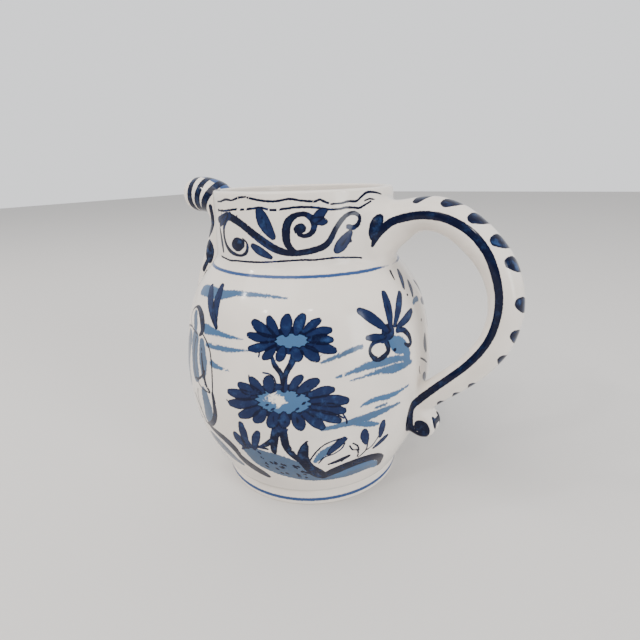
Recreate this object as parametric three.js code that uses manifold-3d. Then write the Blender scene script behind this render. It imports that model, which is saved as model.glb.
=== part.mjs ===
// A glazed earthenware posset pot: a round hollow pot with a tall collar, a looped strap handle
// that ends in a scroll, and opposite it a bored spout that climbs the wall and bends outwards.
// Millimetres, +Z up. The origin is on the pot's axis at the underside, and the handle points to +X.
import * as THREE from 'three';
import { mergeVertices } from 'three/addons/utils/BufferGeometryUtils.js';
import Module from 'manifold-3d';

// The pot's round body
const HEIGHT = 165; // underside to rim
const FOOT_RADIUS = 52.6;
const FOOT_BAND_LEVEL = 5.8; // up to here the foot band is upright
const CREASE_RADIUS = 52; // the groove between the foot band and the belly
const CREASE_LEVEL = 8.8;
const BELLY_RADIUS = 70.9;
const BELLY_LEVEL = 67; // where the belly is widest
const COLLAR_RADIUS = 48.7;
const COLLAR_LEVEL = 131; // where the shoulder meets the collar
const RIM_RADIUS = 48.2;
const WALL = 4.6;
const FLOOR = 7; // thickness of the bottom
const FLOOR_CORNER = 9; // rounding between the floor and the inside wall
const LIP_LAND = 1.8; // width of the flat ring on top of the rim
const FOOT_CHAMFER = 0.9;

// The belly between the crease and its widest ring, and the shoulder from there to the collar,
// as [share of the height, share of the change in radius]
const BELLY_FORM = [[0.03, 0.125], [0.1, 0.237], [0.26, 0.487], [0.42, 0.702], [0.64, 0.891], [0.87, 0.984]];
const SHOULDER_FORM = [
  [0.13, 0.012], [0.36, 0.096], [0.55, 0.215], [0.7, 0.382], [0.81, 0.586], [0.89, 0.768], [0.94, 0.876],
];

// The handle, a strap with an oval section
const HANDLE_REACH = 109.6; // furthest radius of the strap's middle line
const HANDLE_TOP = 152.7; // level of the middle line at its highest
const HANDLE_WIDTH = 20;
const HANDLE_THICKNESS = 16;
const HANDLE_END_THICKNESS = 13.5; // at the scroll
const ROOT_WIDTH = 35; // where the strap spreads on the collar
const ROOT_HEIGHT = 31;
const ROOT_SPREAD = 6.5; // distance over which the root narrows to the strap

// The strap's middle line from the collar to the scroll, as [share of the way out, share of the drop]
const HANDLE_FORM = [
  [-0.08, 0.075], [0.07, 0.064], [0.21, 0.02], [0.36, 0], [0.5, 0.011], [0.63, 0.047], [0.77, 0.111],
  [0.895, 0.194], [0.972, 0.284], [1, 0.372], [0.992, 0.439], [0.941, 0.529], [0.837, 0.609], [0.7, 0.683],
  [0.524, 0.753], [0.344, 0.816], [0.168, 0.878], [0.049, 0.932], [0.01, 0.984],
];

// The scroll under the handle
const SCROLL_LEVEL = 43.2;
const SCROLL_RADIUS = 7.8;
const SCROLL_WIDTH = 13;
const SCROLL_EDGE = 3.2; // rounding of the scroll's two rims
const SCROLL_SINK = 2.4; // how far the scroll's surface sits inside the belly

// The spout, a round tube
const SPOUT_RADIUS = 10.7;
const SPOUT_BORE_RADIUS = 5.5;
const SPOUT_SINK = 1.5; // how far the tube is pressed into the wall
const SPOUT_ROOT_LEVEL = 36; // where the tube's middle line leaves the wall
const SPOUT_LEVEL = 160.5; // level of the nozzle's middle line
const SPOUT_REACH = 87; // radius of the nozzle's end
const SPOUT_BEND = 15; // radius of the elbow's middle line
const SPOUT_CLIMB = [0.29, 0.43, 0.57, 0.7]; // where the tube follows the wall, as shares of its rise
const NOZZLE_ROUNDING = 9; // length over which the nozzle's end closes in
const NOZZLE_LIP = 1.6; // flat width left around the bore
const SADDLE_DEPTH = 5; // clay that fills the gap between the tube and the wall

// Fineness of the facets
const RING_STEPS = 56;
const OUTER_STEPS = 26;
const INNER_STEPS = 14;
const ROUNDING_STEPS = 2;
const STRAP_STEPS = 34;
const STRAP_SIDES = 14;
const SCROLL_STEPS = 20;
const SPOUT_STEPS = 40;
const SPOUT_SIDES = 14;
const CROWDING = 1.35; // how much closer the steps lie at the handle's root and the nozzle
const BORE_SIDES = 8;
const OVERRUN = 4; // how far a cut runs past the face it opens

const wasm = await Module();
wasm.setup();

// Solids

function toSolid(geometry) {
  const bare = geometry.clone();
  bare.deleteAttribute('normal');
  bare.deleteAttribute('uv');
  const merged = mergeVertices(bare, 1e-4);
  const index = merged.index.array;
  const triangles = [];
  for (let i = 0; i < index.length; i += 3) {
    const [a, b, c] = index.slice(i, i + 3);
    if (a !== b && b !== c && c !== a) triangles.push(a, b, c);
  }
  return new wasm.Manifold(new wasm.Mesh({
    numProp: 3,
    vertProperties: Float32Array.from(merged.attributes.position.array),
    triVerts: Uint32Array.from(triangles),
  }));
}

function toGeometry(solid) {
  const mesh = solid.getMesh();
  const geometry = new THREE.BufferGeometry();
  geometry.setAttribute('position', new THREE.BufferAttribute(mesh.vertProperties, mesh.numProp));
  geometry.setIndex(new THREE.BufferAttribute(mesh.triVerts, 1));
  const flat = geometry.toNonIndexed();
  flat.computeVertexNormals();
  return flat;
}

// A solid turned about the pot's axis from an outline of [radius, level] points
function turned(outline) {
  const points = outline.map(([radius, level]) => new THREE.Vector2(radius, level));
  return toSolid(new THREE.LatheGeometry(points, RING_STEPS).rotateX(Math.PI / 2));
}

// A solid that follows a path in the plane of the handle and the spout. The section is an oval
// whose half width and half depth are functions of the share of the path. The depth is also told
// its side of the path, one or minus one. Stations spreads the steps along the path.
function swept(path, halfWidth, halfDepth, steps, sides, stations = (step) => step) {
  const rod = new THREE.CylinderGeometry(1, 1, 1, sides, steps);
  const position = rod.attributes.position;
  for (let i = 0; i < position.count; i += 1) {
    const share = stations(Math.min(Math.max(position.getY(i) + 0.5, 0), 1));
    const centre = path.getPointAt(share);
    const along = path.getTangentAt(share);
    const across = new THREE.Vector3(along.z, 0, -along.x);
    const side = position.getX(i);
    centre.addScaledVector(across, side * halfDepth(share, Math.sign(side)));
    centre.y -= position.getZ(i) * halfWidth(share);
    position.setXYZ(i, centre.x, centre.y, centre.z);
  }
  return toSolid(rod);
}

// The pot's outline

function mix(from, to, share) {
  return from + (to - from) * share;
}

const wallCurve = new THREE.SplineCurve([
  new THREE.Vector2(CREASE_RADIUS, CREASE_LEVEL),
  ...BELLY_FORM.map(([up, out]) => new THREE.Vector2(
    mix(CREASE_RADIUS, BELLY_RADIUS, out), mix(CREASE_LEVEL, BELLY_LEVEL, up))),
  new THREE.Vector2(BELLY_RADIUS, BELLY_LEVEL),
  ...SHOULDER_FORM.map(([up, inward]) => new THREE.Vector2(
    mix(BELLY_RADIUS, COLLAR_RADIUS, inward), mix(BELLY_LEVEL, COLLAR_LEVEL, up))),
  new THREE.Vector2(COLLAR_RADIUS, COLLAR_LEVEL),
]);

// The wall's outer outline moved inwards by a depth, as [radius, level] points
function wallOutline(depth, steps) {
  const points = [];
  for (let i = 0; i <= steps; i += 1) {
    const share = i / steps;
    const point = wallCurve.getPointAt(share);
    const along = wallCurve.getTangentAt(share);
    points.push([point.x - along.y * depth, point.y + along.x * depth]);
  }
  points.push([RIM_RADIUS - depth, HEIGHT]);
  return points.filter(([, level], i) => i === 0 || level > points[i - 1][1]);
}

// Radius of an outline at a level
function radiusAt(outline, level) {
  const i = Math.max(1, outline.findIndex(([, height]) => height >= level));
  const [lowRadius, low] = outline[i - 1];
  const [highRadius, high] = outline[i];
  return mix(lowRadius, highRadius, (level - low) / (high - low));
}

// A quarter round from one level to another, about a centre
function rounding(centreRadius, centreLevel, radius, fromAngle, toAngle) {
  return Array.from({ length: ROUNDING_STEPS + 1 }, (_, i) => {
    const angle = mix(fromAngle, toAngle, i / ROUNDING_STEPS);
    return [centreRadius + radius * Math.cos(angle), centreLevel + radius * Math.sin(angle)];
  });
}

const outer = wallOutline(0, OUTER_STEPS);
const inner = wallOutline(WALL, INNER_STEPS);

function pot() {
  const lip = (WALL - LIP_LAND) / 2;
  const cornerLevel = FLOOR + FLOOR_CORNER;
  const cornerRadius = radiusAt(inner, cornerLevel);
  return turned([
    [0, 0],
    [FOOT_RADIUS - FOOT_CHAMFER, 0],
    [FOOT_RADIUS, FOOT_CHAMFER],
    [FOOT_RADIUS, FOOT_BAND_LEVEL],
    ...outer.slice(0, -1),
    ...rounding(RIM_RADIUS - lip, HEIGHT - lip, lip, 0, Math.PI / 2),
    ...rounding(RIM_RADIUS - WALL + lip, HEIGHT - lip, lip, Math.PI / 2, Math.PI),
    ...inner.slice(0, -1).filter(([, level]) => level > cornerLevel).reverse(),
    ...rounding(cornerRadius - FLOOR_CORNER, cornerLevel, FLOOR_CORNER, 0, -Math.PI / 2),
    [0, FLOOR],
  ]);
}

// Everything inside the middle of the wall, which no handle or spout may enter
function insideOfPot() {
  return turned([[0, FLOOR / 2], ...wallOutline(WALL / 2, INNER_STEPS), [0, HEIGHT]]);
}

// The handle

function pathThrough(points) {
  return new THREE.CatmullRomCurve3(points.map(([radius, level]) => new THREE.Vector3(radius, 0, level)));
}

const handlePath = pathThrough(HANDLE_FORM.map(([out, down]) => {
  const wall = mix(COLLAR_RADIUS, radiusAt(outer, SCROLL_LEVEL), down);
  return [mix(wall, HANDLE_REACH, out), mix(HANDLE_TOP, SCROLL_LEVEL, down)];
}));

// How much the root still spreads at a share of the strap, from one at the collar to nothing
function rootSpread(share) {
  const past = Math.max(0, handlePath.getPointAt(share).x - COLLAR_RADIUS);
  return share < 0.5 ? Math.exp(-((past / ROOT_SPREAD) ** 1.5)) : 0;
}

function handle() {
  const halfWidth = (share) => {
    const strap = mix(HANDLE_WIDTH, SCROLL_WIDTH, Math.max(0, 2 * share - 1));
    return mix(strap, ROOT_WIDTH, rootSpread(share)) / 2;
  };
  const halfDepth = (share) => {
    const strap = mix(HANDLE_THICKNESS, HANDLE_END_THICKNESS, THREE.MathUtils.smoothstep(share, 0.45, 0.9));
    return mix(strap, ROOT_HEIGHT, rootSpread(share)) / 2;
  };
  return swept(handlePath, halfWidth, halfDepth, STRAP_STEPS, STRAP_SIDES, (step) => step ** CROWDING);
}

function scroll() {
  const half = SCROLL_WIDTH / 2;
  const outline = [
    [0, -half],
    ...rounding(SCROLL_RADIUS - SCROLL_EDGE, SCROLL_EDGE - half, SCROLL_EDGE, -Math.PI / 2, 0),
    ...rounding(SCROLL_RADIUS - SCROLL_EDGE, half - SCROLL_EDGE, SCROLL_EDGE, 0, Math.PI / 2),
    [0, half],
  ].map(([radius, side]) => new THREE.Vector2(radius, side));
  const centre = radiusAt(outer, SCROLL_LEVEL) - SCROLL_SINK + SCROLL_RADIUS;
  return toSolid(new THREE.LatheGeometry(outline, SCROLL_STEPS).translate(centre, 0, SCROLL_LEVEL));
}

// The spout

// A point beside the wall, at a level and a distance out from the surface
function besideWall(level, distance) {
  const step = 1;
  const low = radiusAt(outer, level - step);
  const high = radiusAt(outer, level + step);
  const slope = new THREE.Vector2(2 * step, low - high).normalize();
  return [mix(low, high, 0.5) + slope.x * distance, level + slope.y * distance];
}

const spoutPoints = (() => {
  const off = SPOUT_RADIUS - SPOUT_SINK;
  const [rootRadius, rootLevel] = besideWall(SPOUT_ROOT_LEVEL, 0);
  const riser = COLLAR_RADIUS + off;
  const bendLevel = SPOUT_LEVEL - SPOUT_BEND;
  const diagonal = SPOUT_BEND * Math.SQRT1_2;
  return [
    [rootRadius - SPOUT_RADIUS - WALL, rootLevel - SPOUT_RADIUS],
    [rootRadius, rootLevel],
    ...SPOUT_CLIMB.map((up) => besideWall(mix(SPOUT_ROOT_LEVEL, COLLAR_LEVEL, up), off)),
    [mix(riser, BELLY_RADIUS, 0.2), mix(COLLAR_LEVEL, bendLevel, 0.3)],
    [riser, bendLevel],
    [riser + SPOUT_BEND - diagonal, bendLevel + diagonal],
    [riser + SPOUT_BEND, SPOUT_LEVEL],
    [SPOUT_REACH, SPOUT_LEVEL],
  ];
})();

function mirrored(points) {
  return points.map(([radius, level]) => [-radius, level]);
}

function spout() {
  const path = pathThrough(mirrored(spoutPoints));
  const end = SPOUT_BORE_RADIUS + NOZZLE_LIP;
  const radius = (share) => {
    const left = (1 - share) * path.getLength();
    const closing = Math.max(0, 1 - left / NOZZLE_ROUNDING);
    return end + (SPOUT_RADIUS - end) * Math.sqrt(1 - closing ** 2);
  };
  const bendLevel = SPOUT_LEVEL - SPOUT_BEND;
  const depth = (share, side) => {
    const climbing = 1 - THREE.MathUtils.smoothstep(path.getPointAt(share).z, COLLAR_LEVEL, bendLevel);
    return radius(share) + (side > 0 ? SADDLE_DEPTH * climbing : 0);
  };
  return swept(path, radius, depth, SPOUT_STEPS, SPOUT_SIDES, (step) => 1 - (1 - step) ** CROWDING);
}

function bore() {
  const path = pathThrough([...mirrored(spoutPoints), [-SPOUT_REACH - OVERRUN, SPOUT_LEVEL]]);
  return swept(path, () => SPOUT_BORE_RADIUS, () => SPOUT_BORE_RADIUS, SPOUT_STEPS, BORE_SIDES);
}

// The finished piece

const fittings = handle().add(scroll()).add(spout()).subtract(insideOfPot());
const body = pot().add(fittings).subtract(bore());

const glaze = new THREE.MeshStandardMaterial({ color: 0xd8cdc6, roughness: 0.18, metalness: 0 });
const piece = new THREE.Mesh(toGeometry(body), glaze);
piece.name = 'posset_pot';

const group = new THREE.Group();
group.add(piece);

export default group;
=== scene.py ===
# %% [markdown]
# # A painted posset pot
# This lesson builds a glazed earthenware posset pot: a round pot with a tall collar, a strap handle that
# ends in a scroll, and a spout that climbs the wall. These were joined as wet clay, covered with a white
# tin glaze and painted with cobalt blue, so the pot is a single piece here too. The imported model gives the
# frame. Every shape below is worked out in millimetres and scaled at the end.

import math

import bpy
import numpy as np
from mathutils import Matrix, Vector


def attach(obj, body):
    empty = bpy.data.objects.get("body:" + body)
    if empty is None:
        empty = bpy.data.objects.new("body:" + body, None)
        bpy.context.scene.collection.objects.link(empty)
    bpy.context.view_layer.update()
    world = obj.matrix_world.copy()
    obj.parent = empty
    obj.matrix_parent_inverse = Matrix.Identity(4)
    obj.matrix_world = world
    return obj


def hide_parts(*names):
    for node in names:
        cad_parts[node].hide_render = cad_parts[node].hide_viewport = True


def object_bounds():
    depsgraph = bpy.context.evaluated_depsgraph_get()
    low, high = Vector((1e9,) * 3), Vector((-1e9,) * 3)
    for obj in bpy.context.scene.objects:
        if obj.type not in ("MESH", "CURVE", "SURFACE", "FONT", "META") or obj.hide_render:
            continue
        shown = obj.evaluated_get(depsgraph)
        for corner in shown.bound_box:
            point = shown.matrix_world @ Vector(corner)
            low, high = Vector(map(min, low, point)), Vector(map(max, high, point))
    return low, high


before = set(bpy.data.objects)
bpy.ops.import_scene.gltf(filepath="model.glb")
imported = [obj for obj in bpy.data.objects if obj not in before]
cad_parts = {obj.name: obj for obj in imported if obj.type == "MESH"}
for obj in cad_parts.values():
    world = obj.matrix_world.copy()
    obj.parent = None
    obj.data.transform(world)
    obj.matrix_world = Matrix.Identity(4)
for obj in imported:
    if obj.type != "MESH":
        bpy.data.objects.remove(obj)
cad_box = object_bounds()
NODE = "posset_pot"
MM = 0.001
print("solid's box in mm", [[round(v / MM, 1) for v in corner] for corner in cad_box])

# %% [markdown]
# ## The camera
# The photograph is a close view from a wide lens, which shows the rim, the ring at the neck and the foot as
# ellipses. A pinhole camera fitted to them stands about a hand's span from the pot. Making the camera first
# means that every later step can be judged in the same view.

# %% Camera
CAMERA_DISTANCE = 258.5
CAMERA_LEVEL = 174.1
CAMERA_AZIMUTH = math.radians(-55.0)
CAMERA_PITCH = math.radians(18.30)
CAMERA_YAW = math.radians(1.52)
CAMERA_ROLL = math.radians(1.70)
FOCAL_PIXELS = 458.1
FRAME_PIXELS = 640
SENSOR_WIDTH = 36.0


def make_camera():
    heading = CAMERA_AZIMUTH + math.pi - CAMERA_YAW
    forward = Vector((math.cos(heading), math.sin(heading), 0)) * math.cos(CAMERA_PITCH)
    forward.z = -math.sin(CAMERA_PITCH)
    level_right = Vector((math.sin(heading), -math.cos(heading), 0))
    level_up = level_right.cross(forward)
    right = level_right * math.cos(CAMERA_ROLL) - level_up * math.sin(CAMERA_ROLL)
    up = level_right * math.sin(CAMERA_ROLL) + level_up * math.cos(CAMERA_ROLL)
    data = bpy.data.cameras.new("camera")
    data.sensor_width = SENSOR_WIDTH
    data.lens = SENSOR_WIDTH * FOCAL_PIXELS / FRAME_PIXELS
    data.clip_start = 0.01
    camera = bpy.data.objects.new("camera", data)
    place = Vector((CAMERA_DISTANCE * math.cos(CAMERA_AZIMUTH), CAMERA_DISTANCE * math.sin(CAMERA_AZIMUTH),
                    CAMERA_LEVEL)) * MM
    columns = (right, up, -forward)
    for row in range(3):
        for column in range(3):
            camera.matrix_world[row][column] = columns[column][row]
        camera.matrix_world[row][3] = place[row]
    bpy.context.collection.objects.link(camera)
    bpy.context.scene.camera = camera
    return camera


camera = make_camera()
print("camera at", [round(v, 4) for v in camera.matrix_world.translation])

# %% [markdown]
# ## The pot's outline
# A thrown pot is a solid of revolution, so one outline holds its whole shape. The potter's wheel leaves a
# low foot band, a crease, a full belly, a round shoulder and a nearly straight collar. The outline is a
# smooth spline through a few places that are given as shares of the main sizes. It is then softened where
# the shoulder meets the collar, because clay and glaze never leave a sharp corner there.

# %% Outline of the wall
HEIGHT = 165.0
FOOT_RADIUS = 52.6
FOOT_CHAMFER = 0.9
FOOT_BAND_LEVEL = 5.8
CREASE_RADIUS, CREASE_LEVEL = 52.0, 8.8
BELLY_RADIUS, BELLY_LEVEL = 70.9, 67.0
COLLAR_RADIUS, COLLAR_LEVEL = 48.7, 131.0
RIM_RADIUS = 48.2
WALL = 4.6
FLOOR = 7.0
FLOOR_CORNER = 9.0
LIP_LAND = 1.8
BELLY_FORM = [(0.03, 0.125), (0.1, 0.237), (0.26, 0.487), (0.42, 0.702), (0.64, 0.891), (0.87, 0.984)]
SHOULDER_FORM = [(0.13, 0.012), (0.36, 0.096), (0.55, 0.215), (0.7, 0.382), (0.81, 0.586), (0.89, 0.768),
                 (0.94, 0.876)]
NECK_SOFTENING = 1.8
OUTLINE_STEP = 0.25


def mix(start, end, share):
    return start + (end - start) * share


def spline(points, per_span=12):
    """A smooth line through the points, with an even number of steps from each one to the next."""
    points = np.asarray(points, float)
    held = np.vstack([points[:1], points, points[-1:]])
    t = (np.arange(per_span) / per_span)[:, None]
    spans = []
    for a, b, c, d in zip(held, held[1:], held[2:], held[3:]):
        spans.append(0.5 * (2 * b + (c - a) * t + (2 * a - 5 * b + 4 * c - d) * t**2
                            + (3 * b - a - 3 * c + d) * t**3))
    return np.vstack(spans + [points[-1:]])


def travelled(points):
    """Distance along a line of points, from its start to each of them."""
    steps = np.linalg.norm(np.diff(points, axis=0), axis=1)
    return np.concatenate([[0.0], np.cumsum(steps)])


def spread(points, step):
    """The same line with its points at an even distance."""
    along = travelled(points)
    count = max(2, round(along[-1] / step)) + 1
    even = np.linspace(0, along[-1], count)
    return np.stack([np.interp(even, along, column) for column in points.T], 1)


def wall_outline():
    corners = [(CREASE_RADIUS, CREASE_LEVEL)]
    corners += [(mix(CREASE_RADIUS, BELLY_RADIUS, out), mix(CREASE_LEVEL, BELLY_LEVEL, up))
                for up, out in BELLY_FORM]
    corners += [(BELLY_RADIUS, BELLY_LEVEL)]
    corners += [(mix(BELLY_RADIUS, COLLAR_RADIUS, inward), mix(BELLY_LEVEL, COLLAR_LEVEL, up))
                for up, inward in SHOULDER_FORM]
    corners += [(COLLAR_RADIUS, COLLAR_LEVEL)]
    lip = (WALL - LIP_LAND) / 2
    line = spread(np.vstack([spline(corners), [(RIM_RADIUS, HEIGHT - lip)]]), OUTLINE_STEP)
    reach = round(3 * NECK_SOFTENING / OUTLINE_STEP)
    kernel = np.exp(-0.5 * (np.arange(-reach, reach + 1) * OUTLINE_STEP / NECK_SOFTENING) ** 2)
    kernel /= kernel.sum()
    inner = slice(reach, -reach)
    soft = line.copy()
    for axis in range(2):
        soft[inner, axis] = np.convolve(line[:, axis], kernel, "valid")
    near_neck = np.exp(-(((line[:, 1] - COLLAR_LEVEL) / (6 * NECK_SOFTENING)) ** 4))[:, None]
    return line + (soft - line) * near_neck


OUTLINE = wall_outline()
OUTLINE_ALONG = travelled(OUTLINE)


def radius_at(level):
    return np.interp(level, OUTLINE[:, 1], OUTLINE[:, 0])


def on_pot(azimuth, level, lift=0.0):
    """Points on the wall, from azimuths in degrees and levels."""
    angle = np.radians(azimuth)
    radius = radius_at(level) + lift
    return np.stack([radius * np.cos(angle), radius * np.sin(angle), np.asarray(level, float)], -1)


print("outline of", len(OUTLINE), "points,", round(OUTLINE_ALONG[-1]), "mm long")

# %% [markdown]
# ## The paths of the handle and the spout
# Both lie in the upright plane through the pot's axis. The handle is a pulled strap. It is wide where it
# was pressed on the collar, even along the loop, and rolled up at its lower end. The spout is a tube that
# was laid against the wall. A few chosen places and a spline give each path, and the places follow the
# wall.

# %% Paths
HANDLE_REACH, HANDLE_TOP = 109.6, 152.7
HANDLE_WIDTH, HANDLE_THICKNESS, HANDLE_END_THICKNESS = 20.0, 16.0, 13.5
ROOT_WIDTH, ROOT_HEIGHT = 35.0, 31.0
ROOT_SPREAD = 6.5
SCROLL_LEVEL, SCROLL_RADIUS, SCROLL_WIDTH, SCROLL_EDGE, SCROLL_SINK = 43.2, 7.8, 13.0, 3.2, 2.4
HANDLE_FORM = [(-0.08, 0.075), (0.07, 0.064), (0.21, 0.02), (0.36, 0), (0.5, 0.011), (0.63, 0.047),
               (0.77, 0.111), (0.895, 0.194), (0.972, 0.284), (1, 0.372), (0.992, 0.439), (0.941, 0.529),
               (0.837, 0.609), (0.7, 0.683), (0.524, 0.753), (0.344, 0.816), (0.168, 0.878),
               (0.049, 0.932), (0.01, 0.984)]
SPOUT_RADIUS, BORE_RADIUS = 10.7, 5.5
SPOUT_SINK = 1.5
SADDLE_DEPTH = 5.0
SPOUT_ROOT_LEVEL, SPOUT_LEVEL, SPOUT_REACH, SPOUT_BEND = 36.0, 160.5, 87.0, 15.0
SPOUT_CLIMB = (0.29, 0.43, 0.57, 0.7)
NOZZLE_ROUNDING, NOZZLE_LIP = 9.0, 1.6
PATH_STEP = 1.0


def in_plane(points):
    """Places given as radius and level, in the plane of the handle. The spout's radii are negative."""
    points = np.asarray(points, float)
    return np.stack([points[:, 0], np.zeros(len(points)), points[:, 1]], 1)


def beside_wall(level, distance):
    step = 1.0
    low, high = radius_at(level - step), radius_at(level + step)
    out = np.array([2 * step, low - high]) / math.hypot(2 * step, low - high)
    return (low + high) / 2 + out[0] * distance, level + out[1] * distance


def handle_path():
    places = []
    for out, down in HANDLE_FORM:
        wall = mix(COLLAR_RADIUS, radius_at(SCROLL_LEVEL), down)
        places.append((mix(wall, HANDLE_REACH, out), mix(HANDLE_TOP, SCROLL_LEVEL, down)))
    return in_plane(spread(spline(places), PATH_STEP))


def spout_places():
    off = SPOUT_RADIUS - SPOUT_SINK
    root = beside_wall(SPOUT_ROOT_LEVEL, 0)
    riser = COLLAR_RADIUS + off
    bend_level = SPOUT_LEVEL - SPOUT_BEND
    diagonal = SPOUT_BEND * math.sqrt(0.5)
    return [(root[0] - SPOUT_RADIUS - WALL, root[1] - SPOUT_RADIUS), root,
            *[beside_wall(mix(SPOUT_ROOT_LEVEL, COLLAR_LEVEL, up), off) for up in SPOUT_CLIMB],
            (mix(riser, BELLY_RADIUS, 0.2), mix(COLLAR_LEVEL, bend_level, 0.3)),
            (riser, bend_level), (riser + SPOUT_BEND - diagonal, bend_level + diagonal),
            (riser + SPOUT_BEND, SPOUT_LEVEL), (SPOUT_REACH, SPOUT_LEVEL)]


def spout_path(past_end=0.0):
    places = spout_places()
    if past_end:
        places.append((SPOUT_REACH + past_end, SPOUT_LEVEL))
    path = in_plane(spread(spline(places), PATH_STEP))
    path[:, 0] *= -1
    return path


STRAP = handle_path()
TUBE = spout_path()
print("strap", round(travelled(STRAP)[-1]), "mm, tube", round(travelled(TUBE)[-1]), "mm")

# %% [markdown]
# Each path carries a half width. The strap's falls from the spread root to the even strap and a little more
# towards the scroll. The tube's is even until the nozzle closes in to a rounded lip.

# %% Half widths along the paths
along_strap = travelled(STRAP)
past_collar = np.maximum(0, STRAP[:, 0] - COLLAR_RADIUS)
strap_share = along_strap / along_strap[-1]
root_share = np.where(strap_share < 0.5, np.exp(-((past_collar / ROOT_SPREAD) ** 1.5)), 0)
strap_width = mix(HANDLE_WIDTH, SCROLL_WIDTH, np.maximum(0, 2 * strap_share - 1))
STRAP_HALF = mix(strap_width, ROOT_WIDTH, root_share) / 2
thinning = np.clip((strap_share - 0.45) / 0.45, 0, 1)
thickness = mix(HANDLE_THICKNESS, HANDLE_END_THICKNESS, thinning * thinning * (3 - 2 * thinning))
STRAP_DEPTH = mix(thickness, ROOT_HEIGHT, root_share) / 2 / STRAP_HALF

along_tube = travelled(TUBE)
closing = np.clip(1 - (along_tube[-1] - along_tube) / NOZZLE_ROUNDING, 0, 1)
nozzle_half = BORE_RADIUS + NOZZLE_LIP
TUBE_HALF = nozzle_half + (SPOUT_RADIUS - nozzle_half) * np.sqrt(1 - closing**2)
bend = np.clip((TUBE[:, 2] - COLLAR_LEVEL) / (SPOUT_LEVEL - SPOUT_BEND - COLLAR_LEVEL), 0, 1)
SADDLE = 1 + SADDLE_DEPTH / SPOUT_RADIUS * (1 - bend * bend * (3 - 2 * bend))


def around(path, halves, left, right):
    """A map from millimetres along a pulled surface and degrees round it. Zero is the outer side."""
    def places(along, turn):
        steps = np.arange(len(path))
        turn = np.radians(np.asarray(turn, float))
        run = np.stack([np.interp(along, steps, column) for column in np.gradient(path, axis=0).T], 1)
        run /= np.linalg.norm(run, axis=1)[:, None]
        side = np.stack([-run[:, 2], np.zeros(len(run)), run[:, 0]], 1)
        half = np.interp(along, steps, halves)
        share = np.where(np.cos(turn) > 0, np.interp(along, steps, left), np.interp(along, steps, right))
        middle = np.stack([np.interp(along, steps, column) for column in path.T], 1)
        middle = middle + side * (half * share * np.cos(turn))[:, None]
        middle[:, 1] -= half * np.sin(turn)
        return middle
    return places


on_strap = around(STRAP, STRAP_HALF, STRAP_DEPTH, STRAP_DEPTH)
on_tube = around(TUBE, TUBE_HALF, np.ones(len(TUBE)), SADDLE)
print("strap half width", STRAP_HALF.min().round(1), "to", STRAP_HALF.max().round(1))

# %% [markdown]
# ## Brush strokes
# The painter worked with one brush and two strengths of cobalt: full for the drawing, thinned for the
# washes. So the decoration is a list of strokes. A stroke is a line on the glaze with a half width that
# swells and thins as the brush is pressed and lifted. Later, each vertex of the mesh stores its distance to
# the nearest stroke's edge, and the material paints where that distance is below zero. A distance changes
# evenly between vertices, so the edges stay crisp without an image.

# %% Brush
OUTLINED_WIDTH = 3.0
PAINTS = {"ink": [], "wash": [], "ring": [], "bare": []}
OUTLINED = []
TONES = np.random.default_rng(7)


def brush(paint, line, width, tone=None, on=on_pot):
    """One stroke, in degrees round the pot and levels. The width is one value or one for each place."""
    line = np.asarray(line, float)
    widths = np.full(len(line), float(width)) if np.isscalar(width) else np.asarray(width, float)
    places = np.column_stack([on(*line.T), widths])
    if len(places) > 2:
        places = spline(places, 6)
    tone = TONES.uniform(0.25, 1.0) if tone is None else tone
    PAINTS[paint].append((places[:, :3], np.maximum(places[:, 3], 0.05) / 2, tone))
    return PAINTS[paint][-1]


def petal(paint, root, tip, width, bend=0.0, tone=None):
    """A stroke that starts thin at its root, swells and ends round at its tip."""
    (a, low), (b, high) = root, tip
    scale = math.radians(radius_at((low + high) / 2))
    length = math.hypot((b - a) * scale, high - low)
    end = max(0.3, 1 - 0.36 * width / length)
    side = np.array([-(high - low) / scale, (b - a) * scale]) / max(length, 0.1) * bend
    shares = np.array([0, 0.35, 0.7, 1]) * end
    curve = np.array([0, 0.8, 0.9, 0])
    line = [(mix(a, b, s) + side[0] * c, mix(low, high, s) + side[1] * c) for s, c in zip(shares, curve)]
    made = brush(paint, line, np.array([0.5, 0.88, 1, 0.66]) * width, tone)
    if paint == "ink" and width > OUTLINED_WIDTH:
        OUTLINED.append(made)


def dab(paint, place, width, tone=None):
    [(a, level)] = place
    brush(paint, [(a - 0.2, level), (a + 0.2, level)], width, tone)


def placed(turn=0.0, flip=False):
    """Gives a function that moves places further round the pot, and mirrors them first where asked."""
    def at(*line):
        return [((-a if flip else a) + turn, level) for a, level in line]
    return at


print("brush ready:", list(PAINTS))

# %% [markdown]
# ## The collar's scroll
# Two thin wavy lines run under the rim, a thin straight one closes the band, and between them a vine swings
# along the collar with a curl under each crest. The motif as seen from the front is laid down first. The
# same motif, turned further round the pot, fills the far side up to the spout.

# %% Collar painting
VINE = [(-118, 151), (-111, 152.4), (-104.5, 153.4), (-98, 152.0), (-92, 149.7), (-85, 146), (-80, 143.3),
        (-74, 140.2), (-69, 138.4), (-64, 137.4), (-57, 137.6), (-50, 138.6), (-45, 140), (-41.5, 142.6),
        (-39.3, 146), (-37, 149), (-34, 151.8), (-30.5, 153.8), (-26.5, 154.1), (-23.6, 152.2),
        (-24, 149.4), (-27.2, 147.6), (-30.6, 148.2)]
VINE_WIDTHS = [3.2, 3.6, 4.2, 4.0, 3.9, 4.0, 4.1, 4.0, 3.6, 2.9, 3.0, 3.1, 3.1, 3.0, 2.7, 2.6, 2.4, 2.0,
               2.1, 2.7, 3.2, 2.6, 2.5]
SMALL_CURL = [(-106.5, 152.3), (-110, 149), (-111.4, 144.6), (-110, 140.2), (-106, 137), (-100.6, 135.5),
              (-95, 135.2), (-91, 136.8), (-89.6, 139.6), (-90.4, 142), (-93, 143.4)]
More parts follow.
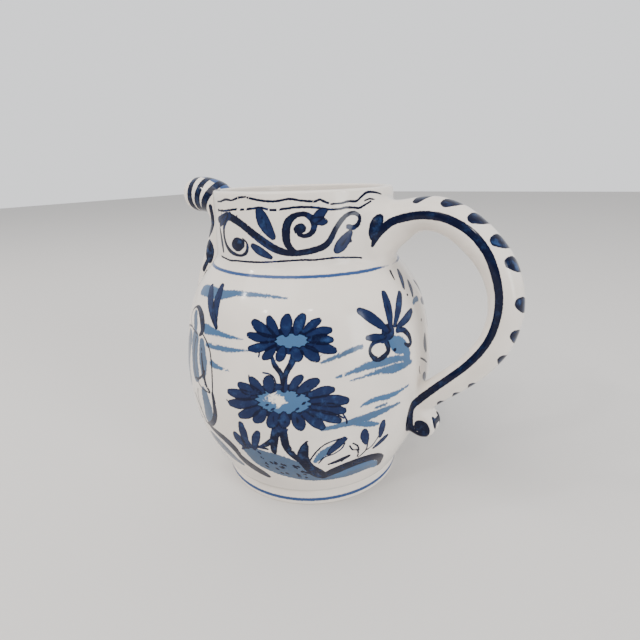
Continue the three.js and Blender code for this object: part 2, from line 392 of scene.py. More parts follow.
SMALL_CURL_WIDTHS = [3.4, 2.6, 2.3, 2.4, 2.4, 1.9, 1.3, 1.9, 1.7, 1.1, 0.8]
BIG_CURL = [(-60, 137.6), (-64.2, 140.6), (-65.5, 145), (-64.6, 150.4), (-61.8, 153.4), (-58, 154.8),
            (-54, 154.6), (-50.8, 152.3), (-50, 149), (-51.8, 146.2), (-55.2, 145.1), (-58.6, 146.2),
            (-59.8, 148.5), (-57.8, 149.6)]
BIG_CURL_WIDTHS = [2.0, 3.2, 4.0, 4.0, 3.2, 2.4, 2.6, 3.2, 3.0, 2.6, 2.0, 2.2, 2.4, 2.6]


def collar_motif(turn=0.0):
    at = placed(turn)
    brush("ink", at(*VINE), VINE_WIDTHS, 0.8)
    brush("ink", at(*SMALL_CURL), SMALL_CURL_WIDTHS, 0.5)
    brush("ink", at((-100.5, 140), (-97.5, 140.4), (-94.2, 141)), [4.6, 7.0, 4.6], 0.3)
    brush("ink", at(*BIG_CURL), BIG_CURL_WIDTHS, 0.9)
    dab("ink", at((-57.2, 148.6)), 4.6, 0.8)
    petal("ink", *at((-73, 145), (-81.5, 158.2)), 6.6, 0.5, 0.6)
    petal("ink", *at((-74.8, 135.4), (-87.3, 141)), 4.3, 0.2, 0.4)
    petal("ink", *at((-29.6, 145.2), (-39.2, 136.4)), 6.0, 0.2, 0.9)
    brush("ink", at((-30, 144.8), (-29.3, 141.5)), [1.2, 1.6], 0.9)
    petal("ink", *at((-51, 151.2), (-42.6, 157)), 4.4, 0.3, 0.9)
    petal("ink", *at((-50.5, 152), (-42.2, 151)), 3.8, -0.2, 0.9)
    dab("ink", at((-47.2, 153)), 4.6, 0.9)
    petal("ink", *at((-106, 153.8), (-117.5, 148)), 3.4, 0.2, 0.2)
    petal("ink", *at((-117, 147), (-114, 134.6)), 3.0, 0.1, 0.1)


def wavy_lines(turn=0.0):
    at = placed(turn)
    brush("ink", at((-118, 160), (-112, 160.3), (-106, 161.4), (-100, 161.1), (-94, 162.4),
                    (-88.6, 162.8)), [0.9, 1.1, 1.2, 1.0, 1.2, 0.9], 0.6)
    brush("ink", at((-87.4, 162.4), (-82, 161.6), (-76, 160.9), (-70, 160.8), (-63, 161.7), (-57, 160.9),
                    (-52, 160.4), (-49, 160.3), (-46.5, 161), (-44, 160), (-42, 159.3)), 1.15, 0.8)
    brush("ink", at((-40.4, 158.8), (-35, 158.9), (-30, 159.6), (-25, 159.4), (-22, 161), (-17.5, 163),
                    (-11, 162.8), (-4, 161.6)), [0.9, 1.0, 1.2, 1.2, 1.2, 1.3, 1.1, 0.8], 0.8)
    brush("ink", at((-118, 155.8), (-110, 155.8), (-104, 156.3), (-96, 157), (-90, 157), (-84, 157.6),
                    (-79, 158), (-73, 156.9), (-66, 157.4), (-58, 158), (-50, 157.7), (-45, 157),
                    (-41, 156.4), (-36, 156.4), (-32, 156.9), (-27, 156.6), (-23, 156.2), (-19, 157.4),
                    (-14.5, 158.7)), 1.15, 0.7)
    brush("ink", at((-19, 159.4), (-15, 160), (-11, 159.3)), 0.9, 0.9)
    brush("ink", at((-118, 132.6), (-112, 132.3), (-105, 131.9), (-100, 132.3), (-90, 132.6),
                    (-80, 132.9), (-68, 133.7), (-58, 134.2), (-50, 134), (-40, 134.4), (-32, 133.9),
                    (-25, 133.3), (-22.4, 132.9)), [1.0] * 12 + [1.5], 0.6)


FRONT_TO_BACK = 143.0
for turn in (0.0, FRONT_TO_BACK):
    collar_motif(turn)
    wavy_lines(turn)
print("collar:", len(PAINTS["ink"]), "strokes")

# %% [markdown]
# ## The flowering tree
# Two many-petalled flowers stand one above the other on a short trunk. Each has a pale washed heart and a
# ring of full-strength petals pulled outwards with one press of the brush. Grass, leaves and a twig with
# buds grow from a dotted bank below, between two dark bars of ground.

# %% Tree painting
UPPER_FLOWER = [((-70, 103.6), (-79.2, 109), 4.6), ((-67.5, 104), (-72.2, 111.6), 4.0),
                ((-64, 104), (-63.6, 113), 5.0), ((-60, 104.4), (-56.7, 113), 4.6),
                ((-57, 104.8), (-49.7, 110.2), 3.6), ((-55.5, 103.4), (-45.4, 105.2), 4.0),
                ((-55, 101.4), (-45.2, 100.6), 3.8), ((-55.5, 99), (-44.2, 95.4), 4.4),
                ((-57.5, 97.6), (-51.2, 91.6), 5.0), ((-61, 97.4), (-59, 91.4), 5.0),
                ((-65.3, 98), (-67.4, 91.4), 4.2), ((-68.6, 98), (-73.6, 92), 3.8),
                ((-69, 99.6), (-80, 96), 3.9), ((-69, 101.6), (-80.9, 102.6), 3.9)]
LOWER_FLOWER = [((-77, 74.2), (-90, 73.4), 4.6), ((-75.4, 76), (-84.8, 78.7), 4.8),
                ((-73.5, 77), (-79.2, 83.3), 4.4), ((-70.6, 77.6), (-71, 85.4), 5.2),
                ((-62.6, 79), (-57.8, 85.8), 3.8), ((-59.6, 77.8), (-51.5, 83.4), 4.6),
                ((-55.6, 76), (-45.8, 78.2), 4.4), ((-54.6, 73), (-40.3, 71.4), 5.2),
                ((-54.6, 70.2), (-41.6, 66), 4.8), ((-55.4, 67.4), (-43.6, 60.8), 4.6),
                ((-58, 66.4), (-50.2, 57.6), 5.0), ((-61.6, 66.4), (-59, 57), 5.6),
                ((-65.6, 66.4), (-66, 58.4), 5.0), ((-69.2, 66.4), (-72, 57.6), 5.2),
                ((-73.2, 67), (-78.4, 59.6), 5.0), ((-75.4, 68.4), (-85.4, 61), 4.6),
                ((-76.6, 71), (-90, 67), 4.8)]
FINE_LINES = [[(-73.2, 86), (-70.6, 85.6), (-68.6, 83.4), (-68.2, 80.2)],
              [(-75, 93.2), (-74.6, 95.6), (-73.2, 96.6)], [(-79.3, 83.8), (-79, 81), (-77.6, 79)],
              [(-90.4, 68.6), (-87, 66), (-84, 65.8)], [(-84.6, 61), (-80.6, 63.2), (-78, 65.6)],
              [(-43.2, 64.8), (-42, 62), (-41.6, 59.4)], [(-49.6, 66.6), (-45.6, 65), (-43, 62.6)]]


def ring_line(centre, half_turn, half_height, count=16):
    angles = np.linspace(0, 2 * math.pi, count + 1)
    return [(centre[0] + half_turn * math.cos(a), centre[1] + half_height * math.sin(a)) for a in angles]


def flower(petals, heart, heart_size, at):
    """Petals pulled outwards, the dark at their roots, and a washed heart with an uneven edge."""
    for root, tip, width in petals:
        petal("ink", *at(root, tip), 1.16 * width, 0.3)
        nib = (mix(root[0], heart[0], 0.16), mix(root[1], heart[1], 0.16))
        brush("ink", at(root, nib), [2.4, 0.7], 0.8)
    brush("ink", at(*ring_line(heart, heart_size[0] + 2.0, heart_size[1] + 1.5)), 3.2, 0.6)
    brush("wash", at((heart[0] - heart_size[0] * 0.7, heart[1] - 0.6), (heart[0], heart[1] + 0.2),
                     (heart[0] + heart_size[0] * 0.7, heart[1] + 0.4)), 2.3 * heart_size[1], 0.9)


def tree(turn=0.0, flip=False):
    at = placed(turn, flip)
    flower(UPPER_FLOWER, (-61.6, 101), (6.4, 3.1), at)
    flower(LOWER_FLOWER, (-66, 72.4), (10.2, 6.0), at)
    for bare in ([(-71.6, 74.6), (-68.6, 75.6), (-65, 74.4)], [(-70.4, 71.6), (-67, 72.8), (-63.6, 72.6)],
                 [(-68.6, 77.6), (-67.6, 73), (-68, 68.8)], [(-73.6, 72.6), (-70.6, 73.2)]):
        brush("bare", at(*bare), [0.8, 2.2, 0.8] if len(bare) == 3 else 1.0)
    for fleck in ((-70.6, 67.8), (-72.8, 69.6), (-60.4, 75.4), (-61.2, 68.4), (-58.6, 71.4), (-69.4, 77)):
        petal("ink", *at(fleck, (fleck[0] + 1.6, fleck[1] + 1.4)), 1.2, 0, 0.7)
    for line in FINE_LINES:
        brush("ink", at(*line), 0.9)
    brush("ink", at((-69.6, 93.6), (-68.6, 90), (-66.4, 86.6), (-65.2, 83), (-65.2, 78.6)),
          [1.6, 2.6, 2.6, 3.4, 3.2], 0.5)
    brush("ink", at((-60.8, 96), (-61.8, 91.6), (-64, 87), (-65, 83)), [3.4, 3.2, 2.8, 3.0], 0.5)
    brush("ink", at((-66.8, 62), (-66.4, 55), (-66, 48.6), (-64.2, 43.5), (-61.4, 38.6)),
          [4.4, 4.2, 4.2, 4.0, 2.6], 0.2)
    brush("ink", at((-68.6, 62), (-69.6, 56), (-70.8, 49.6), (-71.4, 43)), [4.4, 4.4, 4.4, 2.8], 0.2)
    brush("ink", at((-72, 50), (-74.6, 47.2), (-77, 45.6)), [3.2, 2.8, 1.6], 0.2)


def undergrowth(turn=0.0, flip=False):
    at = placed(turn, flip)
    brush("wash", at((-84.6, 41.6), (-78, 36.6), (-70, 33.2), (-62, 29.4), (-54, 25)), [6, 14, 17, 15, 9],
          0.3)
    brush("wash", at((-60, 25), (-50, 23.2), (-40, 23.4), (-30, 24.6), (-23, 24.4)), [5, 5, 6, 6, 5], 0.3)
    for across, up in np.random.default_rng(3).uniform(0.05, 0.95, (26, 2)):
        spot = (mix(-79, -54, across), mix(mix(28, 21, across), mix(42, 31, across), up))
        petal("ink", *at(spot, (spot[0] - 1.5, spot[1] + 1.4)), 1.3, 0, 0.6)
    petal("ink", *at((-85.0, 43), (-89.6, 51)), 5.6, 0.4, 0.3)
    petal("ink", *at((-83.6, 43), (-84.8, 58.8)), 5.0, 0, 0.3)
    petal("ink", *at((-80.4, 43), (-76.8, 55.6)), 4.6, 0.3, 0.3)
    dab("ink", at((-84.4, 45.4)), 7.0, 0.1)
    brush("ink", at((-87.2, 40.2), (-84.6, 42.4), (-79.6, 45), (-74, 44.6)), [1.2, 1.8, 2.4, 1.4], 0.1)
    brush("ink", at((-57.4, 50.6), (-58.8, 46), (-59.4, 40), (-57.4, 34), (-53.6, 28.4), (-50.6, 25)),
          [1.8, 4.8, 6.0, 5.8, 7.4, 5.0], 0.5)
    petal("ink", *at((-48.8, 42.4), (-41.2, 52)), 4.6, 0.3, 0.9)
    brush("ink", at((-56.6, 38.4), (-54.6, 43), (-51.6, 47.4), (-48.6, 49.6), (-44.6, 51)), 0.9, 0.5)
    brush("ink", at((-53, 36), (-50.6, 40), (-46.6, 41.8), (-43.6, 44.4), (-42.2, 47.8)), 0.9, 0.5)
    brush("wash", at((-54.4, 37.4), (-51.4, 42.4), (-47.4, 47)), [2.4, 4.4, 2.2], 0.6)
    petal("ink", *at((-48.6, 34.6), (-39, 39)), 2.6, -0.2, 0.4)
    brush("ink", at((-40, 45.4), (-38.6, 42.4), (-36.4, 41.6), (-35.6, 38.8), (-35.8, 36.6)), 1.0, 0.5)
    brush("ink", at((-38.6, 46.6), (-36.4, 44.2), (-35.6, 41)), 1.0, 0.5)
    petal("ink", *at((-32.4, 44.6), (-34.4, 54.2)), 5.0, 0.2, 0.7)
    petal("ink", *at((-25.6, 46), (-25, 56)), 4.4, 0, 0.7)
    petal("ink", *at((-28, 39.4), (-21, 45.2)), 3.6, 0, 0.6)
    brush("ink", at((-32, 46), (-31.8, 40.6), (-33.6, 37.4), (-35.2, 36)), 0.9, 0.5)
    brush("ink", at((-26.6, 46.4), (-29, 41.6), (-31.6, 39.6)), 0.8, 0.5)


def ground_bars(turn=0.0, flip=False):
    at = placed(turn, flip)
    brush("wash", at((-47, 23), (-38, 26), (-29, 27), (-21.6, 22.6)), [4, 7.6, 7.6, 5], 0.8)
    brush("ink", at((-50, 25.6), (-45.4, 28.6), (-39, 31.4), (-32, 32.6), (-25.4, 31.4), (-20.8, 27.6),
                    (-19.4, 21.6)), [5.0, 6.6, 6.4, 6.0, 5.4, 4.4, 3.0], 0.8)
    brush("wash", at((-109, 37.4), (-103, 33.6), (-98, 29), (-93, 26)), [7, 10, 8, 4], 0.1)
    brush("ink", at((-107, 45), (-103, 44), (-97, 42), (-93, 38.6), (-90.9, 34.4)),
          [2.8, 4.4, 5.6, 5.8, 4.0], 0.8)
    brush("ink", at((-91.4, 34.6), (-87.6, 29.2), (-82.4, 24.8), (-79, 22)), [4.0, 6.6, 6.4, 4.0], 0.8)


tree()
undergrowth()
ground_bars()
print("with the tree:", len(PAINTS["ink"]), "strokes,", len(PAINTS["wash"]), "washes")

# %% [markdown]
# ## Sprays, clouds and the rest of the wall
# A spray of long leaves hangs in the air beside the tree, and thinned blue is dragged sideways for clouds.
# Further round, towards the handle, lie more leaves and dots. The motifs are functions that take a turn
# round the pot, so that each can be painted again elsewhere.

# %% Spray and cloud painting
def spray(turn=0.0, flip=False):
    at = placed(turn, flip)
    brush("wash", at((-20, 95), (-16, 92), (-12, 89), (-10.6, 85)), [5, 9, 6, 5], 0.8)
    petal("ink", *at((-21, 100.4), (-34, 112.6)), 5.4, -0.5, 1.0)
    petal("ink", *at((-19, 101.4), (-16.8, 118.2)), 5.2, 0, 0.9)
    petal("ink", *at((-16.6, 101.6), (-5.4, 115.6)), 4.6, 0.4, 0.3)
    petal("ink", *at((-15, 100.6), (-1, 105.2)), 4.6, -0.4, 0.4)
    petal("ink", *at((-23, 98), (-32.4, 99.4)), 3.8, 0, 0.7)
    brush("ink", at((-23.4, 97), (-22, 93.6), (-22.2, 90.6), (-24.9, 88.7), (-28.3, 88.6), (-30.4, 91.1),
                    (-30.8, 93.8), (-28.8, 96.4), (-25, 96.8)),
          [3.0, 3.0, 2.8, 2.8, 2.8, 2.2, 1.8, 2.2, 2.4], 0.5)
    brush("ink", at((-15.4, 99), (-11.6, 98), (-8.4, 94.4), (-7.6, 90.4), (-9.6, 89.6), (-12.6, 92)),
          [3.0, 3.0, 3.2, 2.6, 2.4, 1.0], 0.4)
    dab("ink", at((-20.8, 99.6)), 8.0, 0.4)
    dab("ink", at((-23.8, 97.4)), 5.0, 0.4)
    dab("ink", at((-18.4, 90.3)), 1.8, 0.3)


LEFT_CLOUDS = [([(-119, 116.2), (-110, 117), (-100, 117.2), (-92, 118.8), (-84, 119.3), (-74, 119.2),
                 (-64, 118.5)], [6, 6.4, 5.4, 3.4, 2.4, 1.9, 0.9]),
               ([(-104.6, 100.6), (-97, 100.5), (-90, 100.3), (-82.6, 100.2)], [5.6, 3.4, 2.0, 0.8]),
               ([(-103, 93.2), (-95, 93.8), (-88, 94.3), (-79.6, 95.4)], [2.4, 2.8, 2.4, 0.8]),
               ([(-99, 84.8), (-94.6, 84.2), (-89, 84.2)], [3.6, 2.4, 0.9])]
RIGHT_CLOUDS = [([(-50.6, 90.9), (-45, 92.9), (-40, 94.6), (-34.4, 95.9)], [1.4, 2.2, 2.4, 2.6]),
                ([(-45.4, 83.2), (-39.6, 84.8), (-33, 86.3), (-25, 86.3), (-16, 85.2), (-10.4, 83)],
                 [1.2, 1.8, 3.6, 4.4, 3.0, 3.0]),
                ([(-40, 80.9), (-33, 81.9), (-27, 82.2), (-19, 81.2), (-8.6, 81)],
                 [0.8, 1.4, 2.6, 4.6, 2.4]),
                ([(-36.2, 67.2), (-30, 68.8), (-22, 68.2), (-10.6, 69.2)], [1.2, 2.8, 3.0, 0.8]),
                ([(-51.4, 57.6), (-44, 58.8), (-36, 60), (-26, 61.2), (-16.6, 61.8)],
                 [2.0, 3.2, 4.4, 3.6, 1.4]), ([(-38, 58.4), (-32, 56), (-27.6, 54.4)], [3.0, 3.4, 2.0]),
                ([(-29, 64.2), (-24, 64.6)], [1.6, 1.4])]


def clouds(banks, turn=0.0, flip=False):
    at = placed(turn, flip)
    for line, width in banks:
        brush("wash", at(*line), width, TONES.uniform(0.4, 0.9))


def beside_handle(turn=0.0, flip=False):
    at = placed(turn, flip)
    brush("ink", at((-3.6, 124), (-4.6, 120.4)), [2.0, 1.0], 0.4)
    petal("ink", *at((-1, 115.6), (6, 124)), 3.8, 0, 0.3)
    petal("ink", *at((4, 110.6), (9, 118)), 3.8, 0, 0.3)
    dab("ink", at((-0.8, 112.3)), 1.4, 0.4)
    brush("wash", at((1.6, 107.4), (5, 108.2), (9, 107.8)), [2.0, 3.0, 3.0], 0.5)
    dab("ink", at((6.4, 97.2)), 1.8, 0.3)
    brush("ink", at((8.4, 88), (7.4, 84), (8.2, 80)), [3.0, 6.4, 3.6], 0.3)
    brush("ink", at((0, 79), (4, 76.2), (8.4, 72.6)), [0.9, 1.2, 1.0], 0.3)
    brush("ink", at((-1.4, 76), (-2, 73.6), (-1.2, 71)), 0.9, 0.3)
    petal("ink", *at((6.6, 64), (2, 68.8)), 5.4, 0, 0.3)


def v_leaf(turn=0.0, flip=False):
    at = placed(turn, flip)
    petal("ink", *at((-97.4, 103), (-112.8, 120.4)), 5.0, -0.2, 0.5)
    petal("ink", *at((-98, 103.6), (-103.2, 122.4)), 5.2, 0.3, 0.5)


spray()
clouds(LEFT_CLOUDS)
clouds(RIGHT_CLOUDS)
beside_handle()
v_leaf()
print("with sprays and clouds:", len(PAINTS["ink"]), "strokes,", len(PAINTS["wash"]), "washes")

# %% [markdown]
# ## A robed figure
# A plain figure in a long robe stands at each end of the picture and faces away, so it has a head of hair
# and no face. Its robe is a few folds and washes between two outlines.

# %% Figure painting
ROBE_WASHES = [([(-107, 93), (-105.6, 84), (-105, 76)], [5, 8, 4]),
               ([(-114, 93), (-114.4, 84), (-112.6, 74)], 9),
               ([(-105.6, 67), (-104.6, 58), (-107.4, 50)], [6, 9, 6]),
               ([(-122, 91), (-125, 80), (-125, 66)], 9),
               ([(-117.6, 104), (-115, 99)], 5.6)]
HAIR = [([(-119, 108), (-114.6, 107.8), (-110.2, 105), (-107.8, 101), (-107.8, 98), (-110, 95.8)],
         [1.4, 3.4, 5.0, 4.8, 3.2, 1.2], 0.6),
        ([(-119, 107.8), (-123.4, 105), (-124, 100.6), (-120, 97.2), (-112, 95.8)], 1.1, 0.4)]
ROBE_EDGE = [([(-106, 96.8), (-102.4, 93.8), (-100, 89.6), (-98.8, 82), (-98.6, 74), (-99, 67.6)], 1.1),
             ([(-121, 97), (-127, 95.6), (-131.5, 92), (-134, 84), (-134.6, 74), (-134, 66),
               (-133, 58)], 1.2),
             ([(-99, 68.6), (-98.7, 62), (-100, 55), (-104, 49), (-109.4, 45.8)], [2.2, 3.2, 3.6, 3.2, 2.0]),
             ([(-117.6, 60), (-114.6, 55), (-111.8, 49), (-111, 46)], 1.8),
             ([(-133, 58), (-130, 50), (-124, 46), (-116, 46)], [1.6, 3.0, 3.0, 1.8])]
FOLDS = [([(-107, 90), (-106.4, 84), (-105, 77.6), (-103.4, 72), (-100.8, 69.2)], [1, 1.6, 2.4, 2.2, 1.4]),
         ([(-104, 79), (-107, 75), (-110.4, 72.4), (-114, 71.6)], [1.0, 1.4, 1.4, 0.8]),
         ([(-113, 94), (-114.6, 88), (-114.8, 80), (-112, 72), (-107, 68.6), (-101, 68.4)], 0.9),
         ([(-122, 92), (-124, 80), (-121, 68)], 1.0),
         ([(-128, 88), (-128.6, 76), (-126, 64)], 1.0),
         ([(-112, 66), (-113.4, 60), (-112.4, 54)], 0.9)]


def figure(turn=0.0, flip=False):
    at = placed(turn, flip)
    for line, width in ROBE_WASHES:
        brush("wash", at(*line), width, 0.35)
    for line, width, tone in HAIR:
        brush("ink", at(*line), width, tone)
    for line, width in ROBE_EDGE:
        brush("ink", at(*line), width, 0.7)
    for line, width in FOLDS:
        brush("ink", at(*line), width, 0.5)


figure()
print("with the figure:", len(PAINTS["ink"]), "strokes")

# %% [markdown]
# ## The other side
# The side away from the camera carries the same motifs again, mirrored and moved round.

# %% Back painting
BACK_TREE, BACK_SPRAY, BACK_FIGURE = 22.0, 12.0, 36.0
tree(BACK_TREE, True)
undergrowth(BACK_TREE, True)
ground_bars(BACK_TREE, True)
spray(BACK_SPRAY, True)
clouds(RIGHT_CLOUDS, BACK_TREE, True)
clouds(LEFT_CLOUDS, BACK_TREE, True)
v_leaf(BACK_TREE, True)
figure(BACK_FIGURE, True)
print("both sides:", len(PAINTS["ink"]), "strokes,", len(PAINTS["wash"]), "washes")

# %% [markdown]
# ## Rings, handle and spout
# Thin blue rings mark the neck and the foot. A long line follows each side of the strap and curls into the
# scroll, and short dabs cross its back. The spout has stripes round the nozzle and leaves down the tube. A
# place on them is given by the distance along the path and the angle round it.

# %% Ring, handle and spout painting
RING_LEVEL, RING_WIDTH = 126.8, 1.7
FOOT_RING_LEVEL, FOOT_RING_WIDTH = 3.4, 2.0
SIDE_LINE = [(3.7, 113), (6.0, 98), (9.1, 86), (13.7, 81), (18.8, 87), (27, 90), (36, 83), (44, 76),
             (52, 71), (61, 75), (69, 85), (79, 94), (88, 101), (99, 108), (109, 114), (120, 116),
             (132, 117), (143, 112), (154, 105)]
CURL = [(69.6, -9, 53.9), (67.6, -8.6, 47.4), (68.0, -6.4, 41.4), (70.8, -6.0, 37.4), (74.6, -6.0, 37.4),
        (77.0, -6.3, 40.4), (76.4, -6.5, 43.8), (73.4, -6.5, 44.2), (73.2, -6.5, 41.6)]
CURL_WIDTHS = [3.8, 4.6, 5.8, 6.0, 5.4, 4.8, 4.6, 4.6, 4.8, 4.4]
DABS = [(26.3, 6.4), (37, 7.2), (48.7, 7.6), (60.9, 7.6), (70.7, 7.4), (86.3, 7.0), (99.1, 6.6), (110.4, 6.0),
        (129.4, 5.2), (139.1, 5.0), (149.3, 5.0)]
NOZZLE_STRIPES = ((165.4, 4.2), (158.6, 4.6), (151.8, 5.0))


def freely(x, y, z):
    return np.stack([x, y, z], -1)


def on_foot(azimuth, level):
    angle = np.radians(azimuth)
    return np.stack([FOOT_RADIUS * np.cos(angle), FOOT_RADIUS * np.sin(angle), level], -1)


full_turn = np.linspace(-180, 180, 73)
brush("ring", [(turn, RING_LEVEL) for turn in full_turn], RING_WIDTH, 0.5)
brush("ring", [(turn, FOOT_RING_LEVEL) for turn in full_turn], FOOT_RING_WIDTH, 0.5, on=on_foot)
for side in (1, -1):
    brush("ink", [(along, side * turn) for along, turn in SIDE_LINE], [2.4] + [3.9] * 18, 0.8, on=on_strap)
    end, turn = SIDE_LINE[-1]
    line_end = on_strap(np.array([end]), np.array([side * turn]))[0]
    brush("ink", [tuple(line_end)] + [(x, side * y, z) for x, y, z in CURL], CURL_WIDTHS, 0.7, on=freely)
    brush("ink", [(79.7, side * 3.3, 47.6), (80.2, side * 3.3, 45), (80.0, side * 3.3, 42)],
          [2.4, 3.8, 2.8], 0.4, on=freely)
    brush("ink", [(4.9, side * 98), (5.6, side * 87), (6.8, side * 70), (10.2, side * 47)],
          [4.0, 6.0, 5.8, 2.2], 0.5, on=on_strap)
brush("ink", [(8.4, 42), (7, 18), (6.6, -14)], [0.8, 2.2, 0.8], 0.3, on=on_strap)
for number, (along, size) in enumerate(DABS):
    brush("ink", [(along - 1.4, 35), (along, 13), (along + 2.2, -16)], [0.7 * size, size, 0.6 * size],
          0.1 if number in (3, 4, 5) else 0.5, on=on_strap)
for along, width in NOZZLE_STRIPES:
    waved = [(along + 0.6 * math.sin(math.radians(2 * turn)), turn) for turn in range(-180, 181, 30)]
    brush("ink", waved, width, 0.6, on=on_tube)
for side in (1, -1):
    brush("ink", [(146, side * 88), (138, side * 74), (130, side * 62), (124, side * 56)],
          [3, 4.4, 5, 2.4], 0.6, on=on_tube)
    brush("ink", [(121.6, side * 70), (117, side * 78), (111, side * 90)], [3, 9.0, 5.4], 0.5, on=on_tube)
    brush("ink", [(108.6, side * 84), (102, side * 76)], [3.0, 3.8], 0.3, on=on_tube)
    brush("ink", [(103, side * 92), (96, side * 84), (88, side * 78)], 0.9, 0.4, on=on_tube)
    for along in (92, 78, 64, 50):
        brush("ink", [(along, side * 30), (along - 5, side * 48), (along - 9, side * 58)],
              [2, 5.4, 2], 0.5, on=on_tube)
brush("ring", [(141, 160), (149, 172), (156, 178), (163, 180)], [5, 7, 7, 4], 0.5, on=on_tube)
for along in (132, 112, 96, 82, 66):
    brush("ink", [(along, 0), (along - 4, 0), (along - 8, 0)], [2.4, 5.6, 2.2], 0.4, on=on_tube)
print("all strokes:", {name: len(strokes) for name, strokes in PAINTS.items()})

# %% [markdown]
# ## Turned and pulled clay
# Two Geometry Nodes trees make the raw shapes, as a potter has two ways to start. One turns an outline
# round the axis: each vertex of a grid looks up a point of the outline by its row, and its column gives the
# angle. The other pulls a section along a path, with the half width stored on the path. Both end in one
# skin with its material.

# %% Node trees
glaze = bpy.data.materials.new("tin glaze")
COLUMNS = 160
WELD = 0.01


def new_tree(name, sockets):
    tree = bpy.data.node_groups.new(name, "GeometryNodeTree")
    tree.interface.new_socket("Geometry", in_out="INPUT", socket_type="NodeSocketGeometry")
    for label, kind, value in sockets:
        socket = tree.interface.new_socket(label, in_out="INPUT", socket_type="NodeSocket" + kind)
        if value is not None:
            socket.default_value = value
    tree.interface.new_socket("Geometry", in_out="OUTPUT", socket_type="NodeSocketGeometry")
    return tree, tree.nodes.new("NodeGroupInput").outputs


def node(tree, kind, inputs=(), **settings):
    """A new node. Each input is a number or the output of another node, by name or by place."""
    made = tree.nodes.new(kind)
    for name, value in settings.items():
        setattr(made, name, value)
    for key, value in dict(inputs).items():
        if isinstance(value, bpy.types.NodeSocket):
            tree.links.new(value, made.inputs[key])
        else:
            made.inputs[key].default_value = value
    return made.outputs


def maths(tree, operation, a, b=0.0, clamp=False):
    return node(tree, "ShaderNodeMath", {0: a, 1: b}, operation=operation, use_clamp=clamp)[0]


def finish_tree(tree, geometry, material):
    realized = node(tree, "GeometryNodeRealizeInstances", {"Geometry": geometry})[0]
    painted = node(tree, "GeometryNodeSetMaterial", {"Geometry": realized, "Material": material})[0]
    tree.links.new(painted, tree.nodes.new("NodeGroupOutput").inputs[0])
    return tree


def turned_tree():
    tree, given = new_tree("turned clay", [("Columns", "Int", COLUMNS), ("Rows", "Int", 100),
                                           ("Material", "Material", None)])
    grid = node(tree, "GeometryNodeMeshGrid", {"Vertices X": maths(tree, "ADD", given["Columns"], 1.0),
                                               "Vertices Y": given["Rows"]})["Mesh"]
    index = node(tree, "GeometryNodeInputIndex")[0]
    column = maths(tree, "FLOOR", maths(tree, "DIVIDE", index, given["Rows"]))
    row = maths(tree, "SUBTRACT", index, maths(tree, "MULTIPLY", column, given["Rows"]))
    place = node(tree, "GeometryNodeInputPosition")[0]
    looked_up = node(tree, "GeometryNodeSampleIndex", {"Geometry": given["Geometry"], "Index": row},
                     data_type="FLOAT_VECTOR")
    tree.links.new(place, looked_up[0].node.inputs["Value"])
    parts = node(tree, "ShaderNodeSeparateXYZ", {0: looked_up[0]})
    turn = maths(tree, "MULTIPLY", maths(tree, "DIVIDE", column, given["Columns"]), 2 * math.pi)
    angle = maths(tree, "SUBTRACT", turn, math.pi)
    spun = node(tree, "ShaderNodeCombineXYZ", {
        "X": maths(tree, "MULTIPLY", parts["X"], maths(tree, "COSINE", angle)),
        "Y": maths(tree, "MULTIPLY", parts["X"], maths(tree, "SINE", angle)), "Z": parts["Z"]})[0]
    wall = node(tree, "GeometryNodeSetPosition", {"Geometry": grid, "Position": spun})[0]
    welded = node(tree, "GeometryNodeMergeByDistance", {"Geometry": wall, "Distance": WELD})[0]
    return finish_tree(tree, welded, given["Material"])


def swept_tree():
    tree, given = new_tree("swept clay", [("Sides", "Int", 40), ("Spacing", "Float", 2.0),
                                          ("Material", "Material", None)])
    curve = node(tree, "GeometryNodeMeshToCurve", {"Mesh": given["Geometry"]})[0]
    half = node(tree, "GeometryNodeInputNamedAttribute", {"Name": "half"}, data_type="FLOAT")[0]
    even = node(tree, "GeometryNodeResampleCurve", {"Curve": curve, "Length": given["Spacing"]},
                mode="LENGTH")[0]
    section = node(tree, "GeometryNodeCurvePrimitiveCircle", {"Resolution": given["Sides"], "Radius": 1.0})[0]
    pulled = node(tree, "GeometryNodeCurveToMesh", {"Curve": even, "Profile Curve": section, "Scale": half,
                                                    "Fill Caps": True})[0]
    return finish_tree(tree, pulled, given["Material"])


TURNED = turned_tree()
SWEPT = swept_tree()
for tree in (TURNED, SWEPT):
    print(tree.name, "has", len(tree.nodes), "nodes")

# %% [markdown]
# A tree needs something to work on: a string of vertices that holds the outline or the path. The result is
# kept as plain mesh, because the later steps move single vertices.

# %% Clay from a line
def attribute(mesh, name, values):
    mesh.attributes.new(name, "FLOAT", "POINT").data.foreach_set("value", np.asarray(values, np.float32))


def line_object(name, points, **values):
    """A string of vertices with its own numbers, for a tree to work on."""
    mesh = bpy.data.meshes.new(name)
    mesh.from_pydata([tuple(p) for p in points], [(i, i + 1) for i in range(len(points) - 1)], [])
    for label, numbers in values.items():
        attribute(mesh, label, numbers)
    made = bpy.data.objects.new(name, mesh)
    bpy.context.collection.objects.link(made)
    return made


def grown(source, tree, **inputs):
    """Runs the tree on the object and keeps the result as plain mesh."""
    modifier = source.modifiers.new(tree.name, "NODES")
    modifier.node_group = tree
    sockets = {item.name: item.identifier for item in tree.interface.items_tree if item.in_out == "INPUT"}
    for label, value in inputs.items():
        modifier[sockets[label]] = value
    source.update_tag()
    graph = bpy.context.evaluated_depsgraph_get()
    mesh = bpy.data.meshes.new_from_object(source.evaluated_get(graph))
    made = bpy.data.objects.new(source.name + " skin", mesh)
    bpy.context.collection.objects.link(made)
    source.modifiers.remove(modifier)
    bpy.data.objects.remove(source)
    return made


def turned(name, outline):
    line = line_object(name, np.stack([outline[:, 0], np.zeros(len(outline)), outline[:, 1]], 1))
    return grown(line, TURNED, Columns=COLUMNS, Rows=len(outline), Material=glaze)


